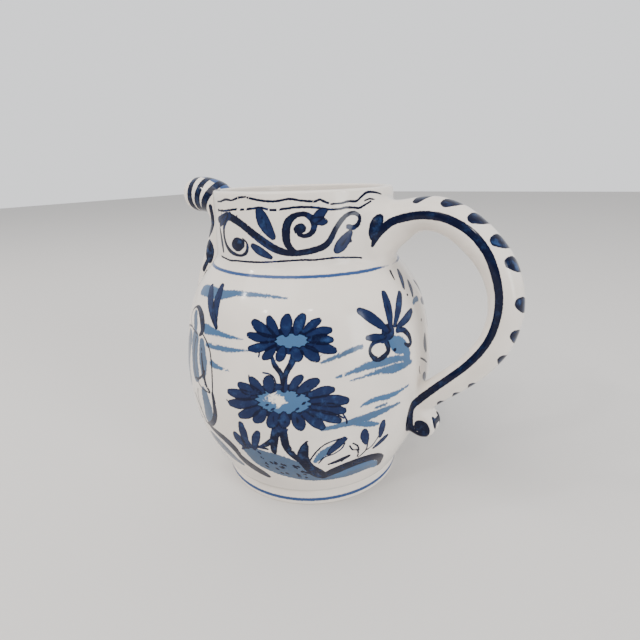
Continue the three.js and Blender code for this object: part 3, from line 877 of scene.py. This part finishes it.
def swept(name, path, halves, sides, spacing):
    return grown(line_object(name, path, half=halves), SWEPT, Sides=sides, Spacing=spacing, Material=glaze)


print("ready to turn with", COLUMNS, "columns")

# %% [markdown]
# The wall has two sides. The outer line has more rows at the neck, where it bends most. The inner line is
# the outer one moved in by the wall's thickness, with a round corner at the floor.

# %% Rows of the wall
WALL_ROW = 2.6
INSIDE_ROW = 5.0
NECK_REACH = 5.0
SIDES, BORE_SIDES = 44, 24
STRAP_SPACING, TUBE_SPACING, BORE_SPACING = 1.9, 1.7, 3.0
BORE_PAST_END = 4.0
UNDERSIDE = (0, 18, 34, 46)


def arc(centre, radius, start, end, steps):
    angles = np.radians(np.linspace(start, end, steps + 1))
    return [(centre[0] + radius * math.cos(a), centre[1] + radius * math.sin(a)) for a in angles]


def wall_rows():
    near_neck = np.exp(-(((OUTLINE[:, 1] - COLLAR_LEVEL) / NECK_REACH) ** 2))
    density = 1 / WALL_ROW + (1 - 1 / WALL_ROW) * near_neck
    total = np.concatenate([[0], np.cumsum(np.diff(OUTLINE_ALONG) * (density[1:] + density[:-1]) / 2)])
    marks = np.interp(np.linspace(0, total[-1], round(total[-1]) + 1), total, OUTLINE_ALONG)
    return np.stack([np.interp(marks, OUTLINE_ALONG, column) for column in OUTLINE.T], 1)


def inner_line(depth):
    """The wall's outline moved inwards, from the floor's corner up to the lip."""
    slope = np.gradient(OUTLINE, axis=0)
    slope /= np.linalg.norm(slope, axis=1)[:, None]
    moved_in = OUTLINE + depth * np.stack([-slope[:, 1], slope[:, 0]], 1)
    corner = FLOOR + FLOOR_CORNER
    upper = moved_in[moved_in[:, 1] > corner]
    foot = mix(upper[0, 0], CREASE_RADIUS - depth, 0.5)
    bottom = (foot - FLOOR_CORNER, FLOOR)
    bend = [(1 - t) ** 2 * np.array(bottom) + 2 * t * (1 - t) * np.array((foot, FLOOR)) + t * t * upper[0]
            for t in np.linspace(0, 1, 9)[:-1]]
    return np.vstack([bend, upper])


def pot_outline():
    lip = (WALL - LIP_LAND) / 2
    under = [(radius, 0) for radius in UNDERSIDE]
    band = arc((FOOT_RADIUS - FOOT_CHAMFER, FOOT_CHAMFER), FOOT_CHAMFER, -90, 0, 4)
    band += [(FOOT_RADIUS, 2.5), (FOOT_RADIUS, 4.2), (FOOT_RADIUS, FOOT_BAND_LEVEL),
             (mix(FOOT_RADIUS, CREASE_RADIUS, 0.3), mix(FOOT_BAND_LEVEL, CREASE_LEVEL, 0.5)),
             (mix(FOOT_RADIUS, CREASE_RADIUS, 0.75), mix(FOOT_BAND_LEVEL, CREASE_LEVEL, 0.85))]
    inside = spread(inner_line(WALL), INSIDE_ROW)
    inside = inside[inside[:, 1] < HEIGHT - 3]
    top = arc((RIM_RADIUS - lip, HEIGHT - lip), lip, 0, 90, 5)[1:]
    top += arc((RIM_RADIUS - WALL + lip, HEIGHT - lip), lip, 90, 180, 5)
    floor = [(inside[0, 0] * share, FLOOR) for share in (0.66, 0.33, 0)]
    return np.vstack([under, band, wall_rows(), top, inside[::-1], floor])


pot = turned("pot", pot_outline())
strap = swept("strap", STRAP, STRAP_HALF, SIDES, STRAP_SPACING)
tube = swept("tube", TUBE, TUBE_HALF, SIDES, TUBE_SPACING)
bore_path = spout_path(BORE_PAST_END)[round(0.4 * SPOUT_RADIUS):]
bore = swept("bore", bore_path, np.full(len(bore_path), BORE_RADIUS), BORE_SIDES, BORE_SPACING)
for made in (pot, strap, tube, bore):
    box = np.array([v.co for v in made.data.vertices])
    print(made.name, len(made.data.polygons), "faces", box.min(0).round(1), box.max(0).round(1))

# %% [markdown]
# ## Joining the clay
# The strap is pressed flat. The tube's inner side is pressed against the wall, so that half of its section
# is deeper. The scroll is a rounded drum. The three pieces end inside the wall. Then the walls merge and
# the bore opens the spout.

# %% Joining
BATCH = 4000
DRUM_COLUMNS, DRUM_EYE = 48, 3.0
CUBIC_MM_IN_CM = 1000


def corners_of(made):
    points = np.empty(3 * len(made.data.vertices), np.float32)
    made.data.vertices.foreach_get("co", points)
    return points.reshape(-1, 3).astype(float)


def nearest_on(path, points):
    """For each point, its place along the path, and its offset in the paths' plane, positive to the left."""
    line = path[:, [0, 2]]
    start, run = line[:-1], np.diff(line, axis=0)
    length = np.linalg.norm(run, axis=1)
    places, offsets = np.empty(len(points)), np.empty(len(points))
    for first in range(0, len(points), BATCH):
        rows = slice(first, first + BATCH)
        flat = points[rows][:, None, [0, 2]] - start
        share = np.clip((flat * run).sum(2) / length**2, 0, 1)
        gap = flat - share[..., None] * run
        far = np.hypot(gap[..., 0], gap[..., 1])
        best = far.argmin(1)
        each = np.arange(len(best))
        side = run[best, 0] * gap[each, best, 1] - run[best, 1] * gap[each, best, 0]
        places[rows] = best + share[each, best]
        offsets[rows] = np.copysign(far[each, best], side)
    return places, offsets


def press(made, path, left, right):
    """Makes the round section deeper or flatter in the paths' plane, by one share on each side."""
    points = corners_of(made)
    places, offsets = nearest_on(path, points)
    steps = np.arange(len(path))
    share = np.where(offsets < 0, np.interp(places, steps, right), np.interp(places, steps, left))
    arm = points - np.stack([np.interp(places, steps, column) for column in path.T], 1)
    arm[:, 1] = 0
    points += arm * (share[:, None] - 1)
    made.data.vertices.foreach_set("co", points.astype(np.float32).ravel())


def drum():
    outline = [(0, -SCROLL_WIDTH / 2), (SCROLL_RADIUS - SCROLL_EDGE - DRUM_EYE, -SCROLL_WIDTH / 2)]
    outline += arc((SCROLL_RADIUS - SCROLL_EDGE, SCROLL_EDGE - SCROLL_WIDTH / 2), SCROLL_EDGE, -90, 0, 5)
    outline += [(radius, -level) for radius, level in outline[::-1]]
    line = line_object("scroll", [(radius, 0, level) for radius, level in outline])
    made = grown(line, TURNED, Columns=DRUM_COLUMNS, Rows=len(outline), Material=glaze)
    points = corners_of(made)
    points = points[:, [0, 2, 1]] * (1, 1, -1) + SCROLL_CENTRE
    made.data.vertices.foreach_set("co", points.astype(np.float32).ravel())
    return made


def combined(first, second, operation):
    """The union or difference of two closed skins, made by Blender's own solver. Both are used up."""
    modifier = first.modifiers.new("join", "BOOLEAN")
    modifier.solver = "MANIFOLD"
    modifier.operation = operation
    modifier.object = second
    graph = bpy.context.evaluated_depsgraph_get()
    mesh = bpy.data.meshes.new_from_object(first.evaluated_get(graph))
    first.modifiers.remove(modifier)
    first.data = mesh
    bpy.data.objects.remove(second)
    if not len(mesh.polygons):
        raise RuntimeError("nothing left of " + first.name)
    return first


SCROLL_CENTRE = np.array([radius_at(SCROLL_LEVEL) - SCROLL_SINK + SCROLL_RADIUS, 0, SCROLL_LEVEL])
press(strap, STRAP, STRAP_DEPTH, STRAP_DEPTH)
press(tube, TUBE, np.ones(len(TUBE)), SADDLE)
fittings = combined(combined(strap, drum(), "UNION"), tube, "UNION")
core_line = inner_line(0.5 * WALL)
core = turned("core", np.vstack([(0, core_line[0, 1]), spread(core_line, 3.0), (0, HEIGHT - 1)]))
pot = combined(combined(pot, combined(fittings, core, "DIFFERENCE"), "UNION"), bore, "DIFFERENCE")
pot.data.calc_loop_triangles()
triangles = np.empty(3 * len(pot.data.loop_triangles), np.int32)
pot.data.loop_triangles.foreach_get("vertices", triangles)
triangles = triangles.reshape(-1, 3)
points = corners_of(pot)
a, b, c = points[triangles.T]
volume = (a * np.cross(b, c)).sum() / 6 / CUBIC_MM_IN_CM
print("one skin of", len(triangles), "triangles around", volume.round(1), "cm3 of clay")

# %% [markdown]
# ## The surface as a rule
# A signed distance says for every place how far it is from the clay's surface. The smaller of two distances
# is the sum of two bodies, and a softened minimum also lays a fillet of slip in the corner between them.
# Each vertex slides along the slope of that distance, in a few steps, to where it reads zero or close to it.
# The same slope gives the normals.

# %% Signed distances
ROOT_FILLET, TUBE_FILLET, SCROLL_FILLET = 9.0, 7.0, 3.5
FILLET_FADE, LEAST_FILLET = 9.0, 0.12
SCROLL_FILLET_TO, ROOT_FILLET_FROM = 75.0, 115.0
FITTINGS_BESIDE, FITTINGS_OUT = 40.0, 25.0
SAMPLE_STEP = 0.04
DEEPEST, HIGHEST = -4.2, 6.0
RIM_CLEAR, LIP_DEPTH, CREASE_CLEAR, NOZZLE_CLEAR, FITTINGS_CLEAR_OF_WALL = 2.0, 1.6, 0.2, 1.5, 3.0
LONGEST_SLIDE = 1.5
STRAP_PLACES, TUBE_PLACES, ROOT_PLACES = np.arange(len(STRAP)), np.arange(len(TUBE)), 45
OUTLINE_SLOPE = np.gradient(OUTLINE[:, 0], OUTLINE[:, 1])


def from_wall(points):
    radius = np.hypot(points[:, 0], points[:, 1])
    slope = np.interp(points[:, 2], OUTLINE[:, 1], OUTLINE_SLOPE)
    return (radius - radius_at(points[:, 2])) / np.sqrt(1 + slope**2)


def from_ellipse(across, along_y, deep, wide):
    near = np.hypot(across / deep, along_y / wide)
    steep = np.maximum(np.hypot(across / deep**2, along_y / wide**2), 1e-6)
    return near * (near - 1) / steep


def from_strap(points):
    """The strap spreads by how far a point lies out along the root's own direction, which never jumps."""
    places, across = nearest_on(STRAP, points)
    run = (points - STRAP[0]) @ ((STRAP[2] - STRAP[0]) / np.linalg.norm(STRAP[2] - STRAP[0]))
    share = np.where(places < ROOT_PLACES, np.interp(run, along_strap, root_share), 0)
    wide = mix(np.interp(places, STRAP_PLACES, strap_width), ROOT_WIDTH, share) / 2
    deep = mix(np.interp(places, STRAP_PLACES, thickness), ROOT_HEIGHT, share) / 2
    return from_ellipse(across, points[:, 1], deep, wide)


def from_tube(points):
    places, across = nearest_on(TUBE, points)
    half = np.interp(places, TUBE_PLACES, TUBE_HALF)
    deeper = np.where(across < 0, np.interp(places, TUBE_PLACES, SADDLE), 1)
    return from_ellipse(across, points[:, 1], half * deeper, half)


def from_scroll(points):
    from_centre = np.hypot(points[:, 0] - SCROLL_CENTRE[0], points[:, 2] - SCROLL_CENTRE[2])
    outwards = from_centre - SCROLL_RADIUS + SCROLL_EDGE
    beside = np.abs(points[:, 1]) - SCROLL_WIDTH / 2 + SCROLL_EDGE
    outside = np.hypot(np.maximum(outwards, 0), np.maximum(beside, 0))
    return outside + np.minimum(np.maximum(outwards, beside), 0) - SCROLL_EDGE


def soft_minimum(a, b, reach):
    overlap = np.maximum(reach - np.abs(a - b), 0) / reach
    return np.minimum(a, b) - overlap**2 * reach / 4


def from_clay(points):
    """The distance to the outer surface with all its fillets."""
    result = from_wall(points)
    beside = np.abs(points[:, 1]) < FITTINGS_BESIDE
    room = np.clip((HEIGHT - RIM_CLEAR - points[:, 2]) / FILLET_FADE, LEAST_FILLET, 1)
    near = np.flatnonzero(beside & (points[:, 0] > FITTINGS_OUT))
    if len(near):
        high = np.clip((points[near, 2] - SCROLL_FILLET_TO) / (ROOT_FILLET_FROM - SCROLL_FILLET_TO), 0, 1)
        reach = mix(SCROLL_FILLET, ROOT_FILLET, high) * room[near]
        joined = soft_minimum(result[near], from_strap(points[near]), reach)
        result[near] = soft_minimum(joined, from_scroll(points[near]), SCROLL_FILLET)
    near = np.flatnonzero(beside & (points[:, 0] < -FITTINGS_OUT))
    if len(near):
        result[near] = soft_minimum(result[near], from_tube(points[near]), TUBE_FILLET * room[near])
    return result


def slope_of(points):
    """How the signed distance grows, from four samples around each point. It points outwards."""
    total = np.zeros_like(points)
    for corner in ((1, -1, -1), (-1, -1, 1), (-1, 1, -1), (1, 1, 1)):
        corner = np.array(corner, float)
        total += corner * from_clay(points + SAMPLE_STEP * corner)[:, None]
    return total / (4 * SAMPLE_STEP)


def follows_rule(points, distance):
    """Outer surface only: not the inside, the lip, the foot band, the nozzle or the bore."""
    outer = (distance > DEEPEST) & (distance < HIGHEST) & (points[:, 2] > CREASE_LEVEL + CREASE_CLEAR)
    nozzle = points[:, 0] < -(SPOUT_REACH - NOZZLE_ROUNDING - NOZZLE_CLEAR)
    on_wall = np.abs(points[:, 0]) <= CREASE_RADIUS + FITTINGS_CLEAR_OF_WALL
    lip = (points[:, 2] >= HEIGHT - LIP_DEPTH) & on_wall
    return outer & ~nozzle & ~lip


def slid(points, rounds=5):
    """Points of the rule's part of the surface, moved in a few steps towards a distance of zero."""
    points = points.copy()
    chosen = np.flatnonzero(follows_rule(points, from_clay(points)))
    for _ in range(rounds):
        distance = np.clip(from_clay(points[chosen]), -LONGEST_SLIDE, LONGEST_SLIDE)
        slope = slope_of(points[chosen])
        points[chosen] -= slope * (distance / np.maximum((slope**2).sum(1), 0.5))[:, None]
    return points


points = slid(points)
left_over = from_clay(points)
print("largest distance left", np.abs(left_over[follows_rule(points, left_over)]).max().round(2), "mm")

# %% [markdown]
# ## Splitting at the joints
# The skin is coarse where nothing happens. Near the joints each long triangle edge gets a new vertex in its
# middle, which slides onto the surface. Splitting by edges keeps the skin closed, because both neighbours
# see the same new vertex. Where the slide has crowded or folded the triangles, their vertices are evened
# out along the surface.

# %% Splitting at the joints
JOINT_EDGE = 1.8
JOINT_REACH = 7.0
FITTINGS_WIDE, FITTINGS_CLEAR = 32.0, 30.0
FACING_LEAST = 0.6
EVENING = 0.8
ROUNDS = (12, 24)


def split(points, triangles, chosen):
    """Splits the edges that the test chooses. The new points come after the old ones."""
    sides = np.stack([triangles, np.roll(triangles, -1, axis=1)], 2).reshape(-1, 2)
    edges, which = np.unique(np.sort(sides, axis=1), axis=0, return_inverse=True)
    which = which.reshape(-1, 3)
    length = np.linalg.norm(points[edges[:, 0]] - points[edges[:, 1]], axis=1)
    marked = chosen(edges, length)
    middle = np.full(len(edges), -1)
    middle[marked] = len(points) + np.arange(marked.sum())
    added = points[edges[marked]].mean(1)
    m = middle[which]
    count = (m >= 0).sum(1)
    result = [triangles[count == 0]]
    for number in (1, 2, 3):
        rows = np.flatnonzero(count == number)
        first = np.argmax(m[rows] >= 0, axis=1) if number == 1 else np.argmax(m[rows] < 0, axis=1) + 1
        order = (first[:, None] + np.arange(3)) % 3
        a, b, c = np.take_along_axis(triangles[rows], order, 1).T
        ab, bc, ca = np.take_along_axis(m[rows], order, 1).T
        if number == 1:
            made = [(a, ab, c), (ab, b, c)]
        elif number == 2:
            made = [(ab, b, bc), (a, ab, bc), (a, bc, c)]
        else:
            made = [(a, ab, ca), (ab, b, bc), (ca, bc, c), (ab, bc, ca)]
        result += [np.stack(t, 1) for t in made]
    return np.vstack([points, slid(added)]), np.vstack(result)


def near_joint(points):
    """Whether two of the clay's bodies are both close."""
    wall = np.abs(from_wall(points))
    beside = (np.abs(points[:, 1]) < FITTINGS_WIDE) & (np.abs(points[:, 0]) > FITTINGS_CLEAR)
    near = np.flatnonzero((wall < JOINT_REACH) & beside)
    result = np.zeros(len(points), bool)
    at = points[near]
    fitting = np.where(at[:, 0] > 0, np.minimum(from_strap(at), from_scroll(at)), from_tube(at))
    result[near] = np.abs(fitting) + wall[near] < JOINT_REACH
    return result


def split_near_joints(edges, length):
    close = near_joint(points)
    return (length > JOINT_EDGE) & close[edges].any(1)


def folded(points, triangles):
    """Triangles of the outer surface that face well away from the rule's slope."""
    a, b, c = points[triangles.T]
    middle = (a + b + c) / 3
    normal, slope = np.cross(b - a, c - a), slope_of(middle)
    along = (normal * slope).sum(1)
    size = np.linalg.norm(normal, axis=1) * np.linalg.norm(slope, axis=1)
    turned_away = (along < FACING_LEAST * size) & (np.abs(middle[:, 0]) > FITTINGS_CLEAR)
    return follows_rule(middle, from_clay(middle)) & turned_away


def relaxed(points, triangles, rounds):
    """Points near the joints and folds, each moved along the surface to the middle of its neighbours."""
    moving = near_joint(points)
    moving[triangles[folded(points, triangles)].ravel()] = True
    for _ in range(3):
        moving[triangles[moving[triangles].any(1)].ravel()] = True
    moving &= follows_rule(points, from_clay(points))
    sides = np.stack([triangles, np.roll(triangles, -1, axis=1)], 2).reshape(-1, 2)
    sides = sides[moving[sides].any(1)]
    count = np.maximum(np.bincount(sides.ravel(), minlength=len(points)), 1)[:, None]
    points = points.copy()
    for _ in range(rounds):
        total = np.stack([np.bincount(sides[:, 0], points[sides[:, 1], axis], len(points))
                          + np.bincount(sides[:, 1], points[sides[:, 0], axis], len(points))
                          for axis in range(3)], 1)
        points[moving] = mix(points[moving], (total / count)[moving], EVENING)
        points[moving] = slid(points[moving], 2)
    return points


print("triangles that face away from the slope:", folded(points, triangles).sum())
for rounds in ROUNDS:
    points, triangles = split(points, triangles, split_near_joints)
    points = relaxed(points, triangles, rounds)
print("after the joints", len(triangles), "triangles,", folded(points, triangles).sum(), "facing away")

# %% [markdown]
# ## Splitting along the brush strokes
# A stored distance is drawn straight between two vertices. Where the real one bends, as at a stroke's end
# or in a tight curl, the edge of the paint would come out ragged. So an edge is split where the distance in
# its middle isn't the mean of its ends, and only close to the edge of a stroke. Each round allows shorter
# edges.

# %% Splitting along the strokes
FAR = 2.5
LEAST_EDGES = (1.2, 0.9, 0.6, 0.4)
INK_TOLERANCE, OUTLINE_TOLERANCE, WASH_TOLERANCE = 0.07, 0.16, 0.3
NEAR_EDGE = 0.5


def stroke_distances(points, strokes):
    """For each point the distance to the nearest stroke's edge, negative inside, and that stroke's tone."""
    distance = np.full(len(points), FAR)
    tone = np.full(len(points), 0.5)
    for line, half, stroke_tone in strokes:
        reach = half.max() + FAR
        inside = ((points > line.min(0) - reach) & (points < line.max(0) + reach)).all(1)
        near = np.flatnonzero(inside)
        if not len(near):
            continue
        start, run = line[:-1], np.diff(line, axis=0)
        length = np.maximum((run**2).sum(1), 1e-9)
        gap = points[near][:, None] - start
        share = np.clip((gap * run).sum(2) / length, 0, 1)
        gap -= share[..., None] * run
        away = np.sqrt((gap**2).sum(2)) - half[:-1] - share * np.diff(half)
        least = away.min(1)
        closer = least < distance[near]
        distance[near[closer]] = least[closer]
        tone[near[closer]] = stroke_tone
    return distance, tone


def edge_distances(points, strokes):
    """For each point the distance to the nearest stroke's edge, positive on both sides of it."""
    distance = np.full(len(points), FAR)
    for stroke in strokes:
        one, _ = stroke_distances(points, [stroke])
        distance = np.minimum(distance, np.abs(one))
    return distance


def misread(edges, length, measure, strokes, tolerance):
    """Edges along which the distance to a stroke bends, so that its ends alone would draw it wrong."""
    ends = measure(points, strokes)[edges]
    near = np.flatnonzero(np.abs(ends).min(1) < np.maximum(0.7 * length, NEAR_EDGE))
    middle = measure(points[edges[near]].mean(1), strokes)
    wrong = np.abs(middle - ends[near].mean(1)) > tolerance
    wrong &= np.minimum(np.abs(middle), np.abs(ends[near]).min(1)) < NEAR_EDGE
    result = np.zeros(len(edges), bool)
    result[near[wrong]] = True
    return result


def signed(points, strokes):
    return stroke_distances(points, strokes)[0]


def split_near_strokes(edges, length):
    chosen = misread(edges, length, signed, PAINTS["ink"] + PAINTS["ring"], INK_TOLERANCE)
    chosen |= misread(edges, length, edge_distances, OUTLINED, OUTLINE_TOLERANCE)
    chosen |= misread(edges, length, signed, PAINTS["wash"] + PAINTS["bare"], WASH_TOLERANCE)
    return chosen & (from_wall(points[edges[:, 0]]) > -2.5) & (length > least)


for least in LEAST_EDGES:
    points, triangles = split(points, triangles, split_near_strokes)
    print("edges down to", least, "mm:", len(triangles), "triangles")

# %% [markdown]
# ## The finished skin
# The vertices become a mesh with smooth normals taken from the surface's rule, and the distances to the
# strokes become point attributes for the material. The skin may not pass the solid's box, so its outermost
# places are drawn in to it first.

# %% Mesh with its paint
FITTED_FROM = 0.9
PAINTED_FROM = -2.2


def fitted(points):
    """The points, with those in the outermost tenth drawn in evenly to end on the solid's box."""
    points = points.copy()
    for corner, sign in ((0, -1), (1, 1)):
        for axis in range(3):
            limit = sign * cad_box[corner][axis] / MM
            values = sign * points[:, axis]
            start, reach = FITTED_FROM * limit, values.max()
            if reach > limit > 0:
                over = values > start
                points[over, axis] = sign * mix(start, limit, (values[over] - start) / (reach - start))
    return points


def skin(points, triangles):
    mesh = bpy.data.meshes.new("posset_pot_skin")
    mesh.vertices.add(len(points))
    mesh.vertices.foreach_set("co", (fitted(points) * MM).astype(np.float32).ravel())
    mesh.loops.add(3 * len(triangles))
    mesh.loops.foreach_set("vertex_index", triangles.astype(np.int32).ravel())
    mesh.polygons.add(len(triangles))
    mesh.polygons.foreach_set("loop_start", np.arange(0, 3 * len(triangles), 3, dtype=np.int32))
    mesh.update()
    mesh.validate()
    mesh.polygons.foreach_set("use_smooth", np.ones(len(mesh.polygons), bool))
    return mesh


def smooth_normals(mesh, points):
    own = np.empty(3 * len(points), np.float32)
    mesh.vertex_normals.foreach_get("vector", own)
    own = own.reshape(-1, 3).astype(float)
    ruled = follows_rule(points, from_clay(points))
    slope = slope_of(points[ruled])
    own[ruled] = slope / np.linalg.norm(slope, axis=1)[:, None]
    mesh.normals_split_custom_set_from_vertices([tuple(n) for n in own])


mesh = skin(points, triangles)
outer = from_wall(points) > PAINTED_FROM
bare, _ = stroke_distances(points, PAINTS["bare"])
for name in ("ink", "wash", "ring"):
    distance, tone = stroke_distances(points, PAINTS[name])
    if name == "wash":
        distance = np.maximum(distance, -bare)
    attribute(mesh, name, np.where(outer, distance, FAR))
    attribute(mesh, name + " tone", tone)
attribute(mesh, "outline", edge_distances(points, OUTLINED))
smooth_normals(mesh, points)
mesh.materials.append(glaze)
finished = bpy.data.objects.new("posset_pot_skin", mesh)
bpy.context.collection.objects.link(finished)
bpy.data.objects.remove(pot)
print("finished skin:", len(mesh.polygons), "triangles,", len(mesh.vertices), "vertices")

# %% [markdown]
# ## Glaze and cobalt
# Tin glaze is a glossy, faintly warm white. Cobalt lies in it, so paint and ground share one gloss. The
# material compares each attribute with zero. Noise frays the edges and lets the blue turn thin in the
# middle of some strokes. A petal is darkest along its own outline, and the washes vary from blue to grey.

# %% Glaze
GLAZE_WHITE = (0.82, 0.755, 0.685)
INK_DARK = (0.003, 0.005, 0.022)
INK_FILL = (0.008, 0.016, 0.060)
INK_THIN = (0.022, 0.055, 0.15)
WASH_BLUE = (0.055, 0.13, 0.26)
WASH_GREY = (0.075, 0.105, 0.16)
RING_BLUE = (0.035, 0.075, 0.20)
GLOSS = {"Roughness": 0.13, "IOR": 1.3, "Coat Weight": 0.0, "Specular IOR Level": 0.4}
FRAY_SCALE, MOTTLE_SCALE, DRIFT_SCALE = 900.0, 260.0, 45.0
INK_FRAY, OUTLINE_FRAY, RING_FRAY, WASH_FRAY, TONE_FRAY = 0.5, 0.5, 0.6, 1.6, 0.8


def remap(tree, value, low, high, to_low=0.0, to_high=1.0):
    limits = {"From Min": low, "From Max": high, "To Min": to_low, "To Max": to_high}
    return node(tree, "ShaderNodeMapRange", {"Value": value, **limits}, interpolation_type="SMOOTHSTEP")[0]


def blend_colours(tree, share, a, b):
    mixer = tree.nodes.new("ShaderNodeMix")
    mixer.data_type = "RGBA"
    for socket, value in ((mixer.inputs[0], share), (mixer.inputs[6], a), (mixer.inputs[7], b)):
        if isinstance(value, bpy.types.NodeSocket):
            tree.links.new(value, socket)
        else:
            socket.default_value = value if isinstance(value, float) else (*value, 1.0)
    return mixer.outputs[2]


def noise(tree, scale, detail=2.0, roughness=0.5):
    where = node(tree, "ShaderNodeTexCoord")["Object"]
    return node(tree, "ShaderNodeTexNoise", {"Vector": where, "Scale": scale, "Detail": detail,
                                             "Roughness": roughness})["Fac"]


def stored(tree, name):
    return node(tree, "ShaderNodeAttribute", attribute_name=name)["Fac"]


def frayed(tree, name, fray, amount):
    """A stored number with some of the fine noise added."""
    return maths(tree, "ADD", stored(tree, name), maths(tree, "MULTIPLY", fray, amount))


def build_glaze(material):
    material.use_nodes = True
    tree = material.node_tree
    tree.nodes.clear()
    fray = maths(tree, "SUBTRACT", noise(tree, FRAY_SCALE), 0.5)
    mottle = noise(tree, MOTTLE_SCALE, 3.0, 0.6)
    drift = noise(tree, DRIFT_SCALE)

    shaded_white = tuple(0.93 * value for value in GLAZE_WHITE)
    ground = blend_colours(tree, remap(tree, drift, 0.35, 0.7), GLAZE_WHITE, shaded_white)
    wash = frayed(tree, "wash", fray, WASH_FRAY)
    wash_tone = remap(tree, frayed(tree, "wash tone", fray, TONE_FRAY), 0.0, 1.0)
    wash_colour = blend_colours(tree, wash_tone, WASH_GREY, WASH_BLUE)
    with_wash = blend_colours(tree, remap(tree, wash, 0.35, -0.35), ground, wash_colour)
    ring = frayed(tree, "ring", fray, RING_FRAY)
    with_ring = blend_colours(tree, remap(tree, ring, 0.25, -0.25), with_wash, RING_BLUE)

    ink = frayed(tree, "ink", fray, INK_FRAY)
    thin = maths(tree, "MULTIPLY", remap(tree, mottle, 0.45, 0.75), remap(tree, ink, -0.2, -1.3))
    thin = maths(tree, "MULTIPLY", thin, maths(tree, "SUBTRACT", 1.15, stored(tree, "ink tone")), clamp=True)
    pressed = remap(tree, frayed(tree, "outline", fray, OUTLINE_FRAY), 0.15, 0.75)
    in_petal = remap(tree, stored(tree, "outline"), 2.4, 1.9)
    filled = blend_colours(tree, maths(tree, "MULTIPLY", pressed, in_petal), INK_DARK, INK_FILL)
    ink_colour = blend_colours(tree, thin, filled, INK_THIN)
    colour = blend_colours(tree, remap(tree, ink, 0.14, -0.14), with_ring, ink_colour)

    surface = node(tree, "ShaderNodeBsdfPrincipled", {"Base Color": colour, **GLOSS})
    tree.links.new(surface[0], tree.nodes.new("ShaderNodeOutputMaterial").inputs[0])


build_glaze(glaze)
print("glaze nodes:", len(glaze.node_tree.nodes))

# %% [markdown]
# ## Light and floor
# The photograph was taken indoors, with a tall window to the right of the pot and small lights above. A
# pale floor and a soft surrounding light fill the rest.

# %% Studio
FLOOR_SIZE = 6.0
PAPER = (0.66, 0.64, 0.62, 1)
ROOM_TINT = (0.97, 0.98, 1.0, 1)
TOWARDS_WALL = (-0.57, 0.82, 0.15)
ROOM_DIM, ROOM_BRIGHT = 0.38, 1.25
DAYLIGHT, SOFT, LAMP = (0.95, 0.98, 1.0), (1.0, 0.97, 0.94), (1.0, 0.96, 0.9)
LIT_LEVEL = 0.085


def make_floor():
    bpy.ops.mesh.primitive_plane_add(size=FLOOR_SIZE, location=(0, 0, 0))
    floor = bpy.context.object
    floor.name = "floor"
    paper = bpy.data.materials.new("pale paper")
    paper.use_nodes = True
    tree = paper.node_tree
    shader = tree.nodes["Principled BSDF"]
    shader.inputs["Base Color"].default_value = PAPER
    shader.inputs["Roughness"].default_value = 0.9
    floor.data.materials.append(paper)
    return floor


def make_light(name, direction, distance, size, power, colour):
    """An area light that faces the pot's middle, from a direction."""
    data = bpy.data.lights.new(name, "AREA")
    data.shape = "RECTANGLE"
    data.size, data.size_y = size
    data.energy = power
    data.color = colour
    light = bpy.data.objects.new(name, data)
    towards = Vector(direction).normalized()
    light.location = Vector((0, 0, LIT_LEVEL)) + towards * distance
    light.rotation_euler = towards.to_track_quat("Z", "Y").to_euler()
    bpy.context.collection.objects.link(light)
    return light


def build_world(name):
    """A soft room: bright towards the pale wall behind the pot, dimmer on the camera's side."""
    world = bpy.data.worlds.new(name)
    world.use_nodes = True
    tree = world.node_tree
    seen = node(tree, "ShaderNodeTexCoord")["Generated"]
    facing = node(tree, "ShaderNodeVectorMath", {0: seen, 1: TOWARDS_WALL}, operation="DOT_PRODUCT")["Value"]
    strength = remap(tree, facing, -0.6, 0.5, ROOM_DIM, ROOM_BRIGHT)
    background = tree.nodes["Background"]
    background.inputs["Color"].default_value = ROOM_TINT
    tree.links.new(strength, background.inputs["Strength"])
    bpy.context.scene.world = world


build_world("room")
floor = make_floor()
make_light("window", (0.97, -0.16, 0.14), 1.5, (0.42, 1.1), 20, DAYLIGHT)
make_light("soft top", (-0.3, -0.7, 1.2), 1.6, (1.2, 1.2), 22, SOFT)
for name, direction in (("lamp a", (-0.55, -0.53, 0.646)), ("lamp b", (-0.155, -0.794, 0.587)),
                        ("lamp c", (0.445, -0.573, 0.685))):
    make_light(name, direction, 1.8, (0.05, 0.05), 3.4, LAMP)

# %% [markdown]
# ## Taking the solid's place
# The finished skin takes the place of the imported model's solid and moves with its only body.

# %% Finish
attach(finished, "root")
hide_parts(NODE)
